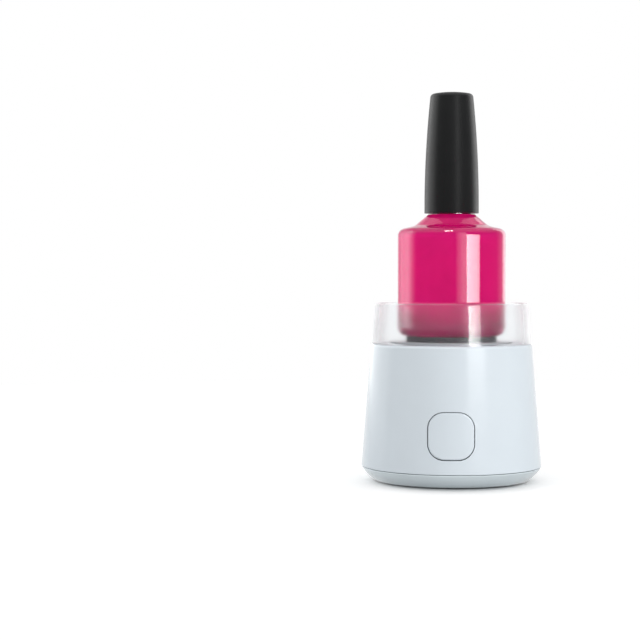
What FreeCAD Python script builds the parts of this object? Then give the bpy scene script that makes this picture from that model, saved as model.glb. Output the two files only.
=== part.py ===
import FreeCAD, Part
import os
import re

import Sketcher

Vector = FreeCAD.Vector

# Desk-top shaker for a bottle of nail polish, in millimetres.
# The origin is on the axis of the housing, at the surface the feet stand on. +Z is up and
# the button faces -Y. A motor hangs under the deck and turns a crank. The crank swirls a
# carrier in a small circle, three pins keep the carrier from turning, and the bottle
# stands on a pad on the carrier, inside a clear collar.

SIZES = {
    # Housing: a taper from the seam above the pan up to the deck
    "housing_foot_radius": 28.15,
    "housing_top_radius": 25.15,
    "seam_height": 4.8,
    "deck_height": 43.05,
    "shell_wall": 2.0,
    "deck_thickness": 2.6,
    "deck_edge_round": 0.9,
    "deck_hole_margin": 0.6,
    # Fits
    "still_gap": 0.05,
    "slide_gap": 0.15,
    "running_gap": 0.03,
    "moving_gap": 0.3,
    "hole_margin": 0.1,
    # Collar on the deck, with a spigot that is pressed into a groove
    "collar_height": 12.65,
    "collar_wall": 1.2,
    "collar_step": 0.22,
    "collar_lip_round": 0.45,
    "collar_foot_height": 1.0,
    "spigot_setback": 1.13,
    "spigot_thickness": 0.8,
    "spigot_depth": 1.1,
    # Pan that closes the housing from below
    "foot_stand": 0.5,
    "foot_radius": 3.5,
    "foot_height": 1.3,
    "foot_bevel": 0.3,
    "foot_circle": 18.0,
    "pan_setback": 0.2,
    "pan_side_run": 3.75,
    "pan_rim_band": 0.25,
    "seam_gap": 0.25,
    "seam_gap_depth": 0.9,
    "pan_side_curve": 12.5,
    "pan_floor": 1.8,
    "pan_corner_rise": 0.9,
    "pan_corner_run": 1.3,
    "lip_height": 1.7,
    "lip_thickness": 1.2,
    # Screws
    "case_screw_radius": 1.1,
    "case_screw_head_radius": 1.9,
    "case_screw_head_height": 1.2,
    "case_screw_length": 9.5,
    "small_screw_radius": 0.8,
    "small_screw_head_radius": 1.5,
    "small_screw_head_height": 0.8,
    "board_screw_length": 5.0,
    "bracket_screw_length": 5.5,
    "motor_screw_length": 2.1,
    "platform_screw_length": 3.4,
    "drive_slot_width": 0.5,
    "drive_slot_span": 1.9,
    "drive_slot_depth": 0.45,
    # Pillars of the pan and bosses of the housing
    "closing_pillar_gap": 0.32,
    "closing_pillar_radius": 3.2,
    "closing_boss_radius": 2.8,
    "closing_boss_top": 22.0,
    "closing_joint_height": 5.2,
    "closing_seat_rise": 1.9,
    "closing_rib_width": 1.6,
    "board_pillar_radius": 2.0,
    "bracket_boss_radius": 2.4,
    "bracket_arm_gap": 1.13,
    # Button, flush with the front
    "button_width": 13.88,
    "button_height": 14.08,
    "button_corner": 4.79,
    "button_gap": 0.22,
    "button_middle": 16.25,
    "button_edge_round": 0.45,
    "button_travel": 0.6,
    "landing_depth": 4.36,
    "flange_overlap": 0.65,
    "button_flange_thickness": 1.0,
    "button_stem_radius": 1.8,
    "guide_wall": 0.9,
    "guide_back": 0.7,
    "guide_window": 7.0,
    # Switch behind the button
    "switch_width": 6.2,
    "switch_depth": 3.4,
    "switch_rise": 3.6,
    "switch_setback": 0.8,
    "plunger_radius": 1.75,
    "plunger_reach": 1.0,
    "plunger_seat": 0.9,
    "switch_bore_depth": 1.6,
    # Board on the pan's pillars
    "board_thickness": 1.6,
    "board_gap": 1.14,
    "board_boss_gap": 0.69,
    "board_setback": 0.6,
    "board_hole_side_edge": 2.5,
    "board_hole_front_edge": 2.8,
    "board_hole_back_edge": 4.9,
    # Charging inlet at the back
    "inlet_width": 8.94,
    "inlet_height": 3.16,
    "inlet_corner": 1.5,
    "inlet_depth": 7.35,
    "inlet_sheet": 0.3,
    "inlet_setback": 0.3,
    "tongue_width": 6.69,
    "tongue_height": 0.7,
    "tongue_length": 4.45,
    "slot_margin": 0.22,
    "pocket_width": 12.6,
    "pocket_height": 7.0,
    "pocket_corner": 3.2,
    "pocket_depth": 1.21,
    # Battery under the board
    "tape_thickness": 0.6,
    "cell_side_gap": 0.79,
    "cell_front_gap": 1.2,
    "cell_back_gap": 2.5,
    "cell_thickness": 6.0,
    "cell_corner": 1.6,
    "tray_rib_thickness": 1.0,
    "tray_rib_height": 2.6,
    "tray_rib_margin": 0.3,
    "tray_rib_half_length": 10.0,
    "connector_half_width": 3.0,
    "connector_depth": 3.4,
    "connector_height": 4.0,
    "connector_gap": 2.2,
    "cell_lead_radius": 0.5,
    "cell_lead_spread": 1.2,
    "cell_lead_drop": 2.8,
    # Motor, hung under the bracket
    "motor_radius": 12.2,
    "motor_rise": 5.6,
    "can_wall": 0.8,
    "can_nose_radius": 3.0,
    "can_nose_height": 1.3,
    "endcap_thickness": 1.3,
    "endcap_plug_height": 0.9,
    "endcap_plug_wall": 1.4,
    "endcap_nose_height": 1.0,
    "bush_radius": 2.0,
    "shaft_radius": 1.0,
    "magnet_thickness": 2.1,
    "magnet_sweep": 140.0,
    "magnet_margin": 1.2,
    "air_gap": 0.5,
    "armature_lift": 3.2,
    "armature_margin": 2.0,
    "armature_hub_radius": 2.4,
    "pole_width": 2.4,
    "pole_shoe_thickness": 1.2,
    "pole_shoe_sweep": 95.0,
    "pole_count": 3,
    "coil_build": 1.3,
    "commutator_radius": 2.3,
    "commutator_length": 2.6,
    "brush_length": 4.0,
    "brush_width": 1.2,
    "brush_height": 1.4,
    "terminal_spread": 7.0,
    "terminal_width": 2.0,
    "terminal_sheet": 0.5,
    "terminal_height": 1.6,
    "motor_lead_radius": 0.5,
    # Bracket between the motor and the deck
    "bracket_thickness": 1.5,
    "bracket_disc_radius": 14.6,
    "bracket_arm_width": 5.2,
    "motor_screw_circle": 8.5,
    "hub_clearance": 1.8,
    # Crank on the motor shaft
    "orbit_offset": 1.0,
    "hub_height": 3.8,
    "hub_radius": 4.2,
    "hub_roof": 0.8,
    "counterweight_radius": 7.5,
    "crank_pin_radius": 2.0,
    "crank_shoulder_radius": 2.7,
    "crank_shoulder_height": 0.2,
    "crank_pin_end_gap": 0.2,
    "set_screw_radius": 0.9,
    "set_screw_socket_radius": 0.45,
    "set_screw_socket_depth": 1.2,
    # Ball bearing on the crank pin
    "bearing_outer_radius": 5.5,
    "bearing_width": 4.0,
    "inner_ring_radius": 2.9,
    "outer_ring_radius": 4.6,
    "ball_circle": 3.75,
    "ball_radius": 1.0,
    "ball_count": 8,
    "cage_inner_radius": 3.4,
    "cage_outer_radius": 4.1,
    "cage_height": 2.7,
    "cage_play": 0.08,
    # Carrier, platform and pad, which swirl together
    "carrier_hub_radius": 8.0,
    "carrier_roof": 0.65,
    "carrier_lift": 0.1,
    "flange_radius": 16.0,
    "flange_thickness": 1.6,
    "flange_gap": 0.45,
    "pin_circle": 12.0,
    "pin_radius": 1.25,
    "roller_radius": 1.75,
    "pin_end_gap": 0.15,
    "platform_radius": 17.8,
    "platform_thickness": 1.2,
    "platform_lift": 0.4,
    "platform_edge_round": 0.3,
    "platform_screw_circle": 6.75,
    "recess_depth": 1.2,
    "recess_margin": 0.5,
    "pad_radius": 14.2,
    "pad_thickness": 1.9,
    "pad_edge_round": 0.35,
    "pad_groove_depth": 0.4,
    "pad_groove_width": 1.0,
    "pad_groove_pitch": 3.2,
    "pad_groove_count": 3,
    # Bottle
    "rest_gap": 0.02,
    "bottle_radius": 16.88,
    "bottle_corner_height": 33.25,
    "bottle_heel_round": 2.7,
    "bottle_shoulder_round": 2.3,
    "bottle_shoulder_rise": 1.36,
    "bottle_shoulder_radius": 11.5,
    "bottle_root_round": 3.0,
    "bottle_root_radius": 7.35,
    "bottle_root_height": 3.48,
    "bottle_wall": 1.5,
    "bottle_floor": 1.7,
    "bottle_inner_heel_round": 3.6,
    "bottle_inner_shoulder_round": 1.8,
    "bottle_push_up": 0.6,
    "bottle_push_up_radius": 11.0,
    "neck_radius": 6.17,
    "neck_height": 9.6,
    "neck_bore_radius": 3.2,
    "neck_foot_wall": 1.2,
    "neck_throat": 1.5,
    "thread_depth": 0.35,
    "thread_pitch": 2.6,
    "thread_start": 2.4,
    "thread_turns": 3,
    "liquid_gap": 0.02,
    "brush_room_radius": 2.3,
    "mixing_ball_radius": 1.5,
    "mixing_ball_spread": 6.5,
    # Cap with its brush
    "cap_gap": 0.4,
    "cap_height": 37.85,
    "cap_narrowing": 1.87,
    "cap_side_curve": 340.0,
    "cap_dome_height": 0.65,
    "cap_edge_round": 1.2,
    "cap_wall": 1.1,
    "cap_roof": 2.2,
    "liner_wall": 0.7,
    "liner_recess": 0.15,
    "liner_roof": 1.0,
    "thread_gap": 0.15,
    "gasket_thickness": 0.9,
    "stem_radius": 1.6,
    "bristle_length": 11.5,
    "bristle_top_radius": 1.4,
    "bristle_radius": 1.9,
    "bristle_rise": 1.1,
}

# Heights, reaches and radii that follow from the sizes
PLACES = {
    "taper": "(housing_foot_radius - housing_top_radius) / (deck_height - seam_height)",
    "inner_foot_radius": "housing_foot_radius + taper * seam_height - shell_wall",
    "deck_underside": "deck_height - deck_thickness",
    "recess_floor": "deck_height - recess_depth",
    "recess_radius": "platform_radius + orbit_offset + recess_margin",
    "deck_hole_radius": "carrier_hub_radius + orbit_offset + deck_hole_margin",
    # Collar
    "collar_foot_radius": "housing_top_radius - collar_step",
    "collar_top": "deck_height + collar_height",
    "collar_top_radius": "collar_foot_radius - taper * collar_height",
    "spigot_outer": "collar_foot_radius - spigot_setback",
    "spigot_inner": "spigot_outer - spigot_thickness",
    "collar_foot_top": "deck_height + collar_foot_height",
    # Swirling stack, from the deck down to the motor
    "platform_bottom": "recess_floor + platform_lift",
    "platform_top": "platform_bottom + platform_thickness",
    "pad_top": "platform_top + pad_thickness",
    "bearing_top": "platform_bottom - carrier_roof",
    "bearing_bottom": "bearing_top - bearing_width",
    "bearing_middle": "bearing_top - bearing_width / 2",
    "groove_radius": "ball_radius + running_gap",
    "carrier_bottom": "bearing_bottom + carrier_lift",
    "flange_top": "deck_underside - flange_gap",
    "flange_bottom": "flange_top - flange_thickness",
    "hub_top": "bearing_bottom - crank_shoulder_height",
    "hub_bottom": "hub_top - hub_height",
    "hub_middle": "hub_bottom + hub_height / 2",
    "shaft_top": "hub_top - hub_roof",
    "bracket_top": "hub_bottom - hub_clearance",
    "bracket_bottom": "bracket_top - bracket_thickness",
    "bracket_reach": "inner_foot_radius - taper * bracket_top - bracket_arm_gap",
    "bracket_circle": "bracket_reach - bracket_arm_width / 2",
    # Motor
    "can_bottom": "board_top + motor_rise",
    "can_inner_radius": "motor_radius - can_wall",
    "can_roof": "bracket_bottom - can_wall",
    "can_nose_top": "bracket_bottom + can_nose_height",
    "endcap_bottom": "can_bottom - endcap_thickness",
    "endcap_nose_bottom": "endcap_bottom - endcap_nose_height",
    "magnet_inner_radius": "can_inner_radius - magnet_thickness",
    "magnet_bottom": "can_bottom + endcap_plug_height + magnet_margin",
    "magnet_top": "can_roof - magnet_margin",
    "armature_radius": "magnet_inner_radius - air_gap",
    "armature_bottom": "can_bottom + armature_lift",
    "armature_top": "can_roof - armature_margin",
    "pole_shoe_inner": "armature_radius - pole_shoe_thickness",
    "coil_inner": "armature_hub_radius + 2 * coil_build",
    "commutator_bottom": "armature_bottom - commutator_length",
    "brush_inner": "commutator_radius + running_gap",
    "terminal_bottom": "endcap_bottom - terminal_height",
    # Crank pin, guide pins and rollers
    "crank_pin_top": "bearing_top - crank_pin_end_gap",
    "roller_hole_radius": "roller_radius + orbit_offset + still_gap",
    "pin_top": "deck_underside - pin_end_gap",
    # Pan
    "pan_rim_radius": "housing_foot_radius - pan_setback",
    "pan_flat_radius": "pan_rim_radius - pan_side_run",
    "pan_underside": "foot_stand",
    "pan_floor_top": "pan_underside + pan_floor",
    "lip_outer": "inner_foot_radius - taper * lip_top - hole_margin",
    "lip_inner": "lip_outer - lip_thickness",
    "lip_top": "seam_height + lip_height",
    "closing_seat": "pan_underside + closing_seat_rise",
    "closing_circle": "lip_inner - closing_pillar_radius - closing_pillar_gap",
    "closing_across": "closing_circle * cos(45)",
    # Board and battery
    "board_top": "button_middle - switch_rise",
    "board_bottom": "board_top - board_thickness",
    "board_radius": "inner_foot_radius - taper * board_top - board_gap",
    "board_half_width": "closing_across - closing_boss_radius - board_boss_gap",
    "board_front": "switch_front - board_setback",
    "board_hole_across": "board_half_width - board_hole_side_edge",
    "board_hole_front": "board_front - board_hole_front_edge",
    "board_hole_back": "board_radius - board_hole_back_edge",
    "tape_top": "pan_floor_top + tape_thickness",
    "cell_top": "tape_top + cell_thickness",
    "cell_half_width": "closing_across - closing_pillar_radius - cell_side_gap",
    "cell_front": "board_hole_front - board_pillar_radius - cell_front_gap",
    "cell_back": "board_hole_back - board_pillar_radius - cell_back_gap",
    "cell_lead_height": "board_bottom - cell_lead_drop",
    # Button, from the front inwards, as reaches towards -Y
    "button_landing": "inner_foot_radius + shell_wall - taper * button_middle - landing_depth",
    "flange_front": "button_landing - still_gap",
    "flange_rear": "flange_front - button_flange_thickness",
    "guide_floor": "flange_rear - button_travel - slide_gap",
    "guide_rear": "guide_floor - guide_back",
    "switch_front": "guide_rear - switch_setback",
    "plunger_tip": "switch_front + plunger_reach",
    "stem_tip": "plunger_tip + still_gap",
    "flange_width": "button_width + 2 * (button_gap + flange_overlap)",
    "flange_height": "button_height + 2 * (button_gap + flange_overlap)",
    "flange_corner": "button_corner + button_gap + flange_overlap",
    "landing_width": "flange_width + 2 * (slide_gap + guide_wall)",
    "landing_height": "flange_height + 2 * (slide_gap + guide_wall)",
    "landing_corner": "flange_corner + slide_gap + guide_wall",
    # Charging inlet
    "inlet_middle": "board_top + inlet_height / 2",
    "pocket_floor": "inner_foot_radius + shell_wall - taper * inlet_middle - pocket_depth",
    "inlet_mouth": "pocket_floor - inlet_setback",
    "inlet_back": "inlet_mouth - inlet_depth",
    # Bottle
    "bottle_bottom": "pad_top + rest_gap",
    "bottle_corner": "bottle_bottom + bottle_corner_height",
    "root_corner": "bottle_corner + bottle_shoulder_rise",
    "root_top": "root_corner + bottle_root_height",
    "neck_top": "root_top + neck_height",
    "cavity_radius": "bottle_radius - bottle_wall",
    "cavity_bottom": "bottle_bottom + bottle_floor",
    "cavity_corner": "bottle_corner - bottle_wall",
    "cavity_root_radius": "bottle_shoulder_radius - bottle_wall / 2",
    "cavity_root": "root_corner - bottle_wall",
    "cavity_throat_radius": "neck_radius - neck_foot_wall",
    "cavity_throat": "root_top + neck_throat",
    # Cap
    "cap_bottom": "root_top + cap_gap",
    "cap_top": "cap_bottom + cap_height",
    "cap_side_top": "cap_top - cap_dome_height",
    "cap_dome_curve": "(cap_top_radius ^ 2 + cap_dome_height ^ 2) / (2 * cap_dome_height)",
    "liner_inner": "neck_radius + thread_depth + thread_gap",
    "liner_outer": "liner_inner + liner_wall",
    "cap_base_radius": "liner_outer + still_gap + cap_wall",
    "cap_top_radius": "cap_base_radius - cap_narrowing",
    "liner_bottom": "cap_bottom + liner_recess",
    "liner_ceiling": "neck_top + still_gap + gasket_thickness",
    "liner_top": "liner_ceiling + liner_roof",
    "bristle_bottom": "cavity_bottom + bristle_rise",
    "stem_bottom": "bristle_bottom + bristle_length",
}

CLOSING_ANGLES = [45, 135, 225, 315]
FOOT_ANGLES = [0, 90, 180, 270]
ARM_ANGLES = [30, 150, 270]
PIN_ANGLES = [90, 210, 330]
MAGNET_ANGLES = [90, 270]
BOARD_HOLES = [
    ("board_hole_across", "-board_hole_front"),
    ("-board_hole_across", "-board_hole_front"),
    ("board_hole_across", "board_hole_back"),
    ("-board_hole_across", "board_hole_back"),
]
MOTOR_SCREW_SPOTS = ["motor_screw_circle", "-motor_screw_circle"]
MIXING_SIDES = ["-mixing_ball_spread", "mixing_ball_spread"]
OUTSIDE = "2 * housing_foot_radius"
EDGE_TOLERANCE = 1e-4

doc = FreeCAD.newDocument("polish_shaker")
sheet = doc.addObject("Spreadsheet::Sheet", "Sizes")
for row, (alias, size) in enumerate(SIZES.items(), start=1):
    sheet.set(f"A{row}", alias)
    sheet.set(f"B{row}", str(size))
    sheet.setAlias(f"B{row}", alias)
doc.recompute()

nodes = []


def full(text):
    """An expression with each place worked out and each size read from the sheet."""

    def spell(match):
        word = match.group(0)
        if word in PLACES:
            return "(" + full(PLACES[word]) + ")"
        return "Sizes." + word if word in SIZES else word

    return re.sub(r"[A-Za-z_]\w*", spell, str(text))


def value(text):
    """The number that an expression stands for."""
    return float(sheet.evalExpression(full(text)))


def bind(item, **texts):
    """Ties properties of an object to expressions."""
    for name, text in texts.items():
        item.setExpression(name, full(text))
    return item


def place(item, across=0, along=0, up=0, turn=0, lying=False):
    """Puts an object at x, y and z, turned about Z or lying along +Y."""
    spin = FreeCAD.Rotation(Vector(0, 0, 1), turn)
    if lying:
        spin = FreeCAD.Rotation(Vector(1, 0, 0), -90)
    item.Placement = FreeCAD.Placement(Vector(), spin)
    for axis, text in zip("xyz", (across, along, up)):
        item.setExpression("Placement.Base." + axis, full(text))
    return item


def finish(item, label):
    """Names an object as a sub-part that is written to a file."""
    item.Label = label
    nodes.append(item)
    return item


# Shapes


def outline(body, role, corners, offset=0):
    """A closed sketch on an origin plane. A corner is (across, up), or has a radius and a
    side for the arc that leaves it: 1 bulges to the right of the way round, -1 to the left."""
    plane = next(item for item in body.Origin.OriginFeatures if item.Role == role)
    sketch = body.newObject("Sketcher::SketchObject", body.Name + "_outline")
    sketch.AttachmentSupport = [(plane, "")]
    sketch.MapMode = "FlatFace"
    sketch.setExpression("AttachmentOffset.Base.z", full(offset))
    spots = [Vector(value(corner[0]), value(corner[1]), 0) for corner in corners]
    first_ends, last_ends = [], []
    for index, corner in enumerate(corners):
        here, there = spots[index], spots[(index + 1) % len(spots)]
        first_end, last_end = 1, 2
        if len(corner) == 2:
            edge = sketch.addGeometry(Part.LineSegment(here, there))
        else:
            radius, side = value(corner[2]), corner[3]
            chord = there - here
            rise = max(radius**2 - chord.Length**2 / 4, 0) ** 0.5
            left = Vector(-chord.y, chord.x, 0).normalize()
            centre = (here + there) * 0.5 + left * (rise * side)
            ends = (here, there) if side > 0 else (there, here)
            if side < 0:
                first_end, last_end = 2, 1
            circle = Part.Circle(centre, Vector(0, 0, 1), radius)
            edge = sketch.addGeometry(Part.ArcOfCircle(circle, *(circle.parameter(e) for e in ends)))
            number = sketch.addConstraint(Sketcher.Constraint("Radius", edge, radius))
            sketch.setExpression(f"Constraints[{number}]", full(corner[2]))
        first_ends.append((edge, first_end))
        last_ends.append((edge, last_end))
    for index, corner in enumerate(corners):
        sketch.addConstraint(Sketcher.Constraint("Coincident", *last_ends[index - 1], *first_ends[index]))
        for kind, axis, text, at in (
            ("DistanceX", -2, corner[0], spots[index].x),
            ("DistanceY", -1, corner[1], spots[index].y),
        ):
            if str(text) == "0":
                sketch.addConstraint(Sketcher.Constraint("PointOnObject", *first_ends[index], axis))
                continue
            number = sketch.addConstraint(Sketcher.Constraint(kind, -1, 1, *first_ends[index], at))
            sketch.setExpression(f"Constraints[{number}]", full(text))
    return sketch


def turned(name, corners, along=0):
    """A solid turned about a vertical axis from an outline of (radius, height)."""
    body = doc.addObject("PartDesign::Body", name)
    sketch = outline(body, "XZ_Plane", corners)
    solid = body.newObject("PartDesign::Revolution", name + "_turn")
    solid.Profile = sketch
    solid.ReferenceAxis = (sketch, ["V_Axis"])
    solid.Angle = 360
    return place(body, along=along)


def rounded(width, height, corner, middle=0):
    """The corners of a rounded rectangle about a middle point on the vertical axis."""
    side, corner = f"({width}) / 2", f"({corner})"
    low, high = f"({middle}) - ({height}) / 2", f"({middle}) + ({height}) / 2"
    return [
        (f"-{side} + {corner}", low),
        (f"{side} - {corner}", low, corner, 1),
        (side, f"{low} + {corner}"),
        (side, f"{high} - {corner}", corner, 1),
        (f"{side} - {corner}", high),
        (f"-{side} + {corner}", high, corner, 1),
        (f"-{side}", f"{high} - {corner}"),
        (f"-{side}", f"{low} + {corner}", corner, 1),
    ]


def prism(name, corners, near, far):
    """An outline seen from the front, extruded along +Y from near to far."""
    body = doc.addObject("PartDesign::Body", name)
    sketch = outline(body, "XZ_Plane", corners, f"-({near})")
    solid = body.newObject("PartDesign::Pad", name + "_pad")
    solid.Profile = sketch
    solid.Reversed = True
    bind(solid, Length=f"({far}) - ({near})")
    return body


def plate(name, corners, bottom, top):
    """An outline seen from above, extruded upwards."""
    body = doc.addObject("PartDesign::Body", name)
    sketch = outline(body, "XY_Plane", corners, bottom)
    solid = body.newObject("PartDesign::Pad", name + "_pad")
    solid.Profile = sketch
    bind(solid, Length=f"({top}) - ({bottom})")
    return body


def post(name, radius, bottom, top, across=0, along=0):
    """An upright cylinder."""
    item = doc.addObject("Part::Cylinder", name)
    bind(item, Radius=radius, Height=f"({top}) - ({bottom})")
    return place(item, across, along, bottom)


def rod(name, radius, near, far, across=0, up=0):
    """A cylinder that lies along Y."""
    item = doc.addObject("Part::Cylinder", name)
    bind(item, Radius=radius, Height=f"({far}) - ({near})")
    return place(item, across, near, up, lying=True)


def block(name, across, along, up):
    """A box between three pairs of expressions."""
    item = doc.addObject("Part::Box", name)
    spans = [f"({high}) - ({low})" for low, high in (across, along, up)]
    bind(item, Length=spans[0], Width=spans[1], Height=spans[2])
    return place(item, across[0], along[0], up[0])


def spoke(name, angle, inner, outer, width, bottom, top):
    """A box that runs outwards at an angle about the Z axis."""
    item = doc.addObject("Part::Box", name)
    bind(item, Length=f"({outer}) - ({inner})", Width=width, Height=f"({top}) - ({bottom})")
    across = f"({inner}) * cos({angle}) + ({width}) / 2 * sin({angle})"
    along = f"({inner}) * sin({angle}) - ({width}) / 2 * cos({angle})"
    return place(item, across, along, bottom, turn=angle)


def sector(name, inner, outer, bottom, top, angle, sweep):
    """A piece of a ring, centred on an angle."""
    item = doc.addObject("Part::Cylinder", name)
    bind(item, Radius=outer, Height=f"({top}) - ({bottom})", Angle=sweep)
    place(item, up=bottom, turn=angle - value(sweep) / 2)
    return cut(name + "_arc", item, post(name + "_bore", inner, bottom, top))


def ball(name, radius, across, along, up):
    """A sphere."""
    item = doc.addObject("Part::Sphere", name)
    bind(item, Radius=radius)
    return place(item, across, along, up)


def taper_solid(name, bottom, top, inset):
    """The housing's taper as a solid cone, inset from its outer face."""
    item = doc.addObject("Part::Cone", name)
    bind(
        item,
        Radius1=f"{shell_radius(bottom)} - ({inset})",
        Radius2=f"{shell_radius(top)} - ({inset})",
        Height=f"({top}) - ({bottom})",
    )
    return place(item, up=bottom)


def joined(name, *items):
    """Items fused into one solid."""
    item = doc.addObject("Part::MultiFuse", name)
    item.Shapes = list(items)
    return item


def cut(name, base, *tools):
    """A base with one or more tools taken out of it."""
    item = doc.addObject("Part::Cut", name)
    item.Base = base
    item.Tool = tools[0] if len(tools) == 1 else joined(name + "_tools", *tools)
    return item


def common(name, base, tool):
    """What two items share."""
    item = doc.addObject("Part::Common", name)
    item.Base = base
    item.Tool = tool
    return item


def group(name, items):
    """Separate solids that make up one sub-part."""
    item = doc.addObject("Part::Compound", name)
    item.Links = list(items)
    return item


def rounding(body, radius, chosen):
    """Rounds the chosen edges of a body's last feature."""
    doc.recompute()
    base = body.Tip
    names = [f"Edge{number}" for number, edge in enumerate(base.Shape.Edges, 1) if chosen(edge)]
    fillet = body.newObject("PartDesign::Fillet", body.Name + "_round")
    fillet.Base = (base, names)
    bind(fillet, Radius=radius)
    return body


def rounding_of(name, item, radius, chosen):
    """Rounds the chosen edges of a finished boolean."""
    doc.recompute()
    body = doc.addObject("PartDesign::Body", name)
    body.BaseFeature = item
    return rounding(body, radius, chosen)


def ring_edge(radius, height):
    """A test for the circular edge of that radius at that height."""
    wanted_radius, wanted_height = value(radius), value(height)

    def fits(edge):
        if edge.Degenerated or not isinstance(edge.Curve, Part.Circle):
            return False
        curve = edge.Curve
        near_radius = abs(curve.Radius - wanted_radius) < EDGE_TOLERANCE
        return near_radius and abs(curve.Center.z - wanted_height) < EDGE_TOLERANCE

    return fits


def shell_radius(height):
    """The housing's outer radius at a height."""
    return f"(inner_foot_radius + shell_wall - taper * ({height}))"


def around(circle, angle, along=0):
    """The x and y of a point on a circle about the Z axis, or about a point on Y."""
    return f"{circle} * cos({angle})", f"{circle} * sin({angle}) + {along}"


def screw(name, across, along, seat, size, length, upwards):
    """A pan-head screw: its head, its shank and the crossed slots of its drive."""
    head = f"{size}_head_height"
    if upwards:
        shank_span, head_span = (seat, f"({seat}) + {length}"), (f"({seat}) - {head}", seat)
        slot_span = (head_span[0], f"{head_span[0]} + drive_slot_depth")
    else:
        shank_span, head_span = (f"({seat}) - {length}", seat), (seat, f"({seat}) + {head}")
        slot_span = (f"{head_span[1]} - drive_slot_depth", head_span[1])
    shank = post(name + "_shank", f"{size}_radius", *shank_span, across, along)
    cap = post(name + "_head", f"{size}_head_radius", *head_span, across, along)
    half_span, half_width = "drive_slot_span / 2", "drive_slot_width / 2"
    slots = []
    for reach_x, reach_y in ((half_span, half_width), (half_width, half_span)):
        span_x = (f"{across} - {reach_x}", f"{across} + {reach_x}")
        span_y = (f"{along} - {reach_y}", f"{along} + {reach_y}")
        slots.append(block(name + "_slot", span_x, span_y, slot_span))
    return cut(name, joined(name + "_solid", shank, cap), *slots)


# Housing: the deck, the closing bosses, the bracket bosses and the button's landing


def make_outer_housing():
    inner_top = f"{shell_radius('deck_underside')} - shell_wall"
    shell = turned(
        "housing_shell",
        [
            ("housing_foot_radius - shell_wall", "seam_height"),
            ("housing_foot_radius", "seam_height"),
            ("housing_top_radius", "deck_height"),
            ("spigot_outer + still_gap", "deck_height"),
            ("spigot_outer + still_gap", "deck_height - spigot_depth - still_gap"),
            ("spigot_inner - still_gap", "deck_height - spigot_depth - still_gap"),
            ("spigot_inner - still_gap", "deck_height"),
            ("recess_radius", "deck_height"),
            ("recess_radius", "recess_floor"),
            ("deck_hole_radius", "recess_floor"),
            ("deck_hole_radius", "deck_underside"),
            (inner_top, "deck_underside"),
        ],
    )
    rounding(shell, "deck_edge_round", ring_edge("housing_top_radius", "deck_height"))
    solids, holes = [shell], []
    for angle in CLOSING_ANGLES:
        spot = around("closing_circle", angle)
        span = ("closing_joint_height", "closing_boss_top")
        solids.append(post("closing_boss", "closing_boss_radius", *span, *spot))
        rib_end = f"{shell_radius('closing_boss_top')} - shell_wall / 2"
        rib_span = ("lip_top + hole_margin", "closing_boss_top")
        solids.append(
            spoke("closing_rib", angle, "closing_circle", rib_end, "closing_rib_width", *rib_span)
        )
        pilot_top = "closing_seat + case_screw_length + moving_gap"
        holes.append(
            post("closing_pilot", "case_screw_radius + running_gap", span[0], pilot_top, *spot)
        )
    for angle in ARM_ANGLES:
        spot = around("bracket_circle", angle)
        boss_top = "deck_underside + shell_wall / 2"
        solids.append(post("bracket_boss", "bracket_boss_radius", "bracket_top", boss_top, *spot))
        pilot_top = "bracket_bottom + bracket_screw_length + moving_gap"
        holes.append(
            post("bracket_pilot", "small_screw_radius + running_gap", "bracket_top", pilot_top, *spot)
        )
    landing = prism(
        "landing_block",
        rounded("landing_width", "landing_height", "landing_corner", "button_middle"),
        f"-({OUTSIDE})",
        "-button_landing",
    )
    mid_wall = taper_solid("landing_trim", "seam_height", "deck_height", "shell_wall / 2")
    solids.append(common("button_landing_frame", landing, mid_wall))
    holes.append(
        prism(
            "button_opening",
            rounded(
                "button_width + 2 * button_gap",
                "button_height + 2 * button_gap",
                "button_corner + button_gap",
                "button_middle",
            ),
            f"-({OUTSIDE})",
            "-button_landing + moving_gap",
        )
    )
    holes.append(
        prism(
            "inlet_slot",
            rounded(
                "inlet_width + 2 * slot_margin",
                "inlet_height + 2 * slot_margin",
                "inlet_corner + slot_margin",
                "inlet_middle",
            ),
            "inlet_back",
            OUTSIDE,
        )
    )
    pocket = rounded("pocket_width", "pocket_height", "pocket_corner", "inlet_middle")
    holes.append(prism("inlet_pocket", pocket, "pocket_floor", OUTSIDE))
    finish(cut("housing", joined("housing_solid", *solids), *holes), "outer_housing")


def make_guard_collar():
    foot_top_radius = "collar_foot_radius - taper * collar_foot_height - collar_wall"
    collar = turned(
        "collar",
        [
            ("spigot_inner", "deck_height - spigot_depth"),
            ("spigot_outer", "deck_height - spigot_depth"),
            ("spigot_outer", "deck_height"),
            ("collar_foot_radius", "deck_height"),
            ("collar_top_radius", "collar_top"),
            ("collar_top_radius - collar_wall", "collar_top"),
            (foot_top_radius, "collar_foot_top"),
            ("spigot_inner", "collar_foot_top"),
        ],
    )
    outer = ring_edge("collar_top_radius", "collar_top")
    inner = ring_edge("collar_top_radius - collar_wall", "collar_top")
    rounding(collar, "collar_lip_round", lambda edge: outer(edge) or inner(edge))
    finish(collar, "guard_collar")


# Pan, with the pillars for the closing screws and the board, and the battery tray


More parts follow.
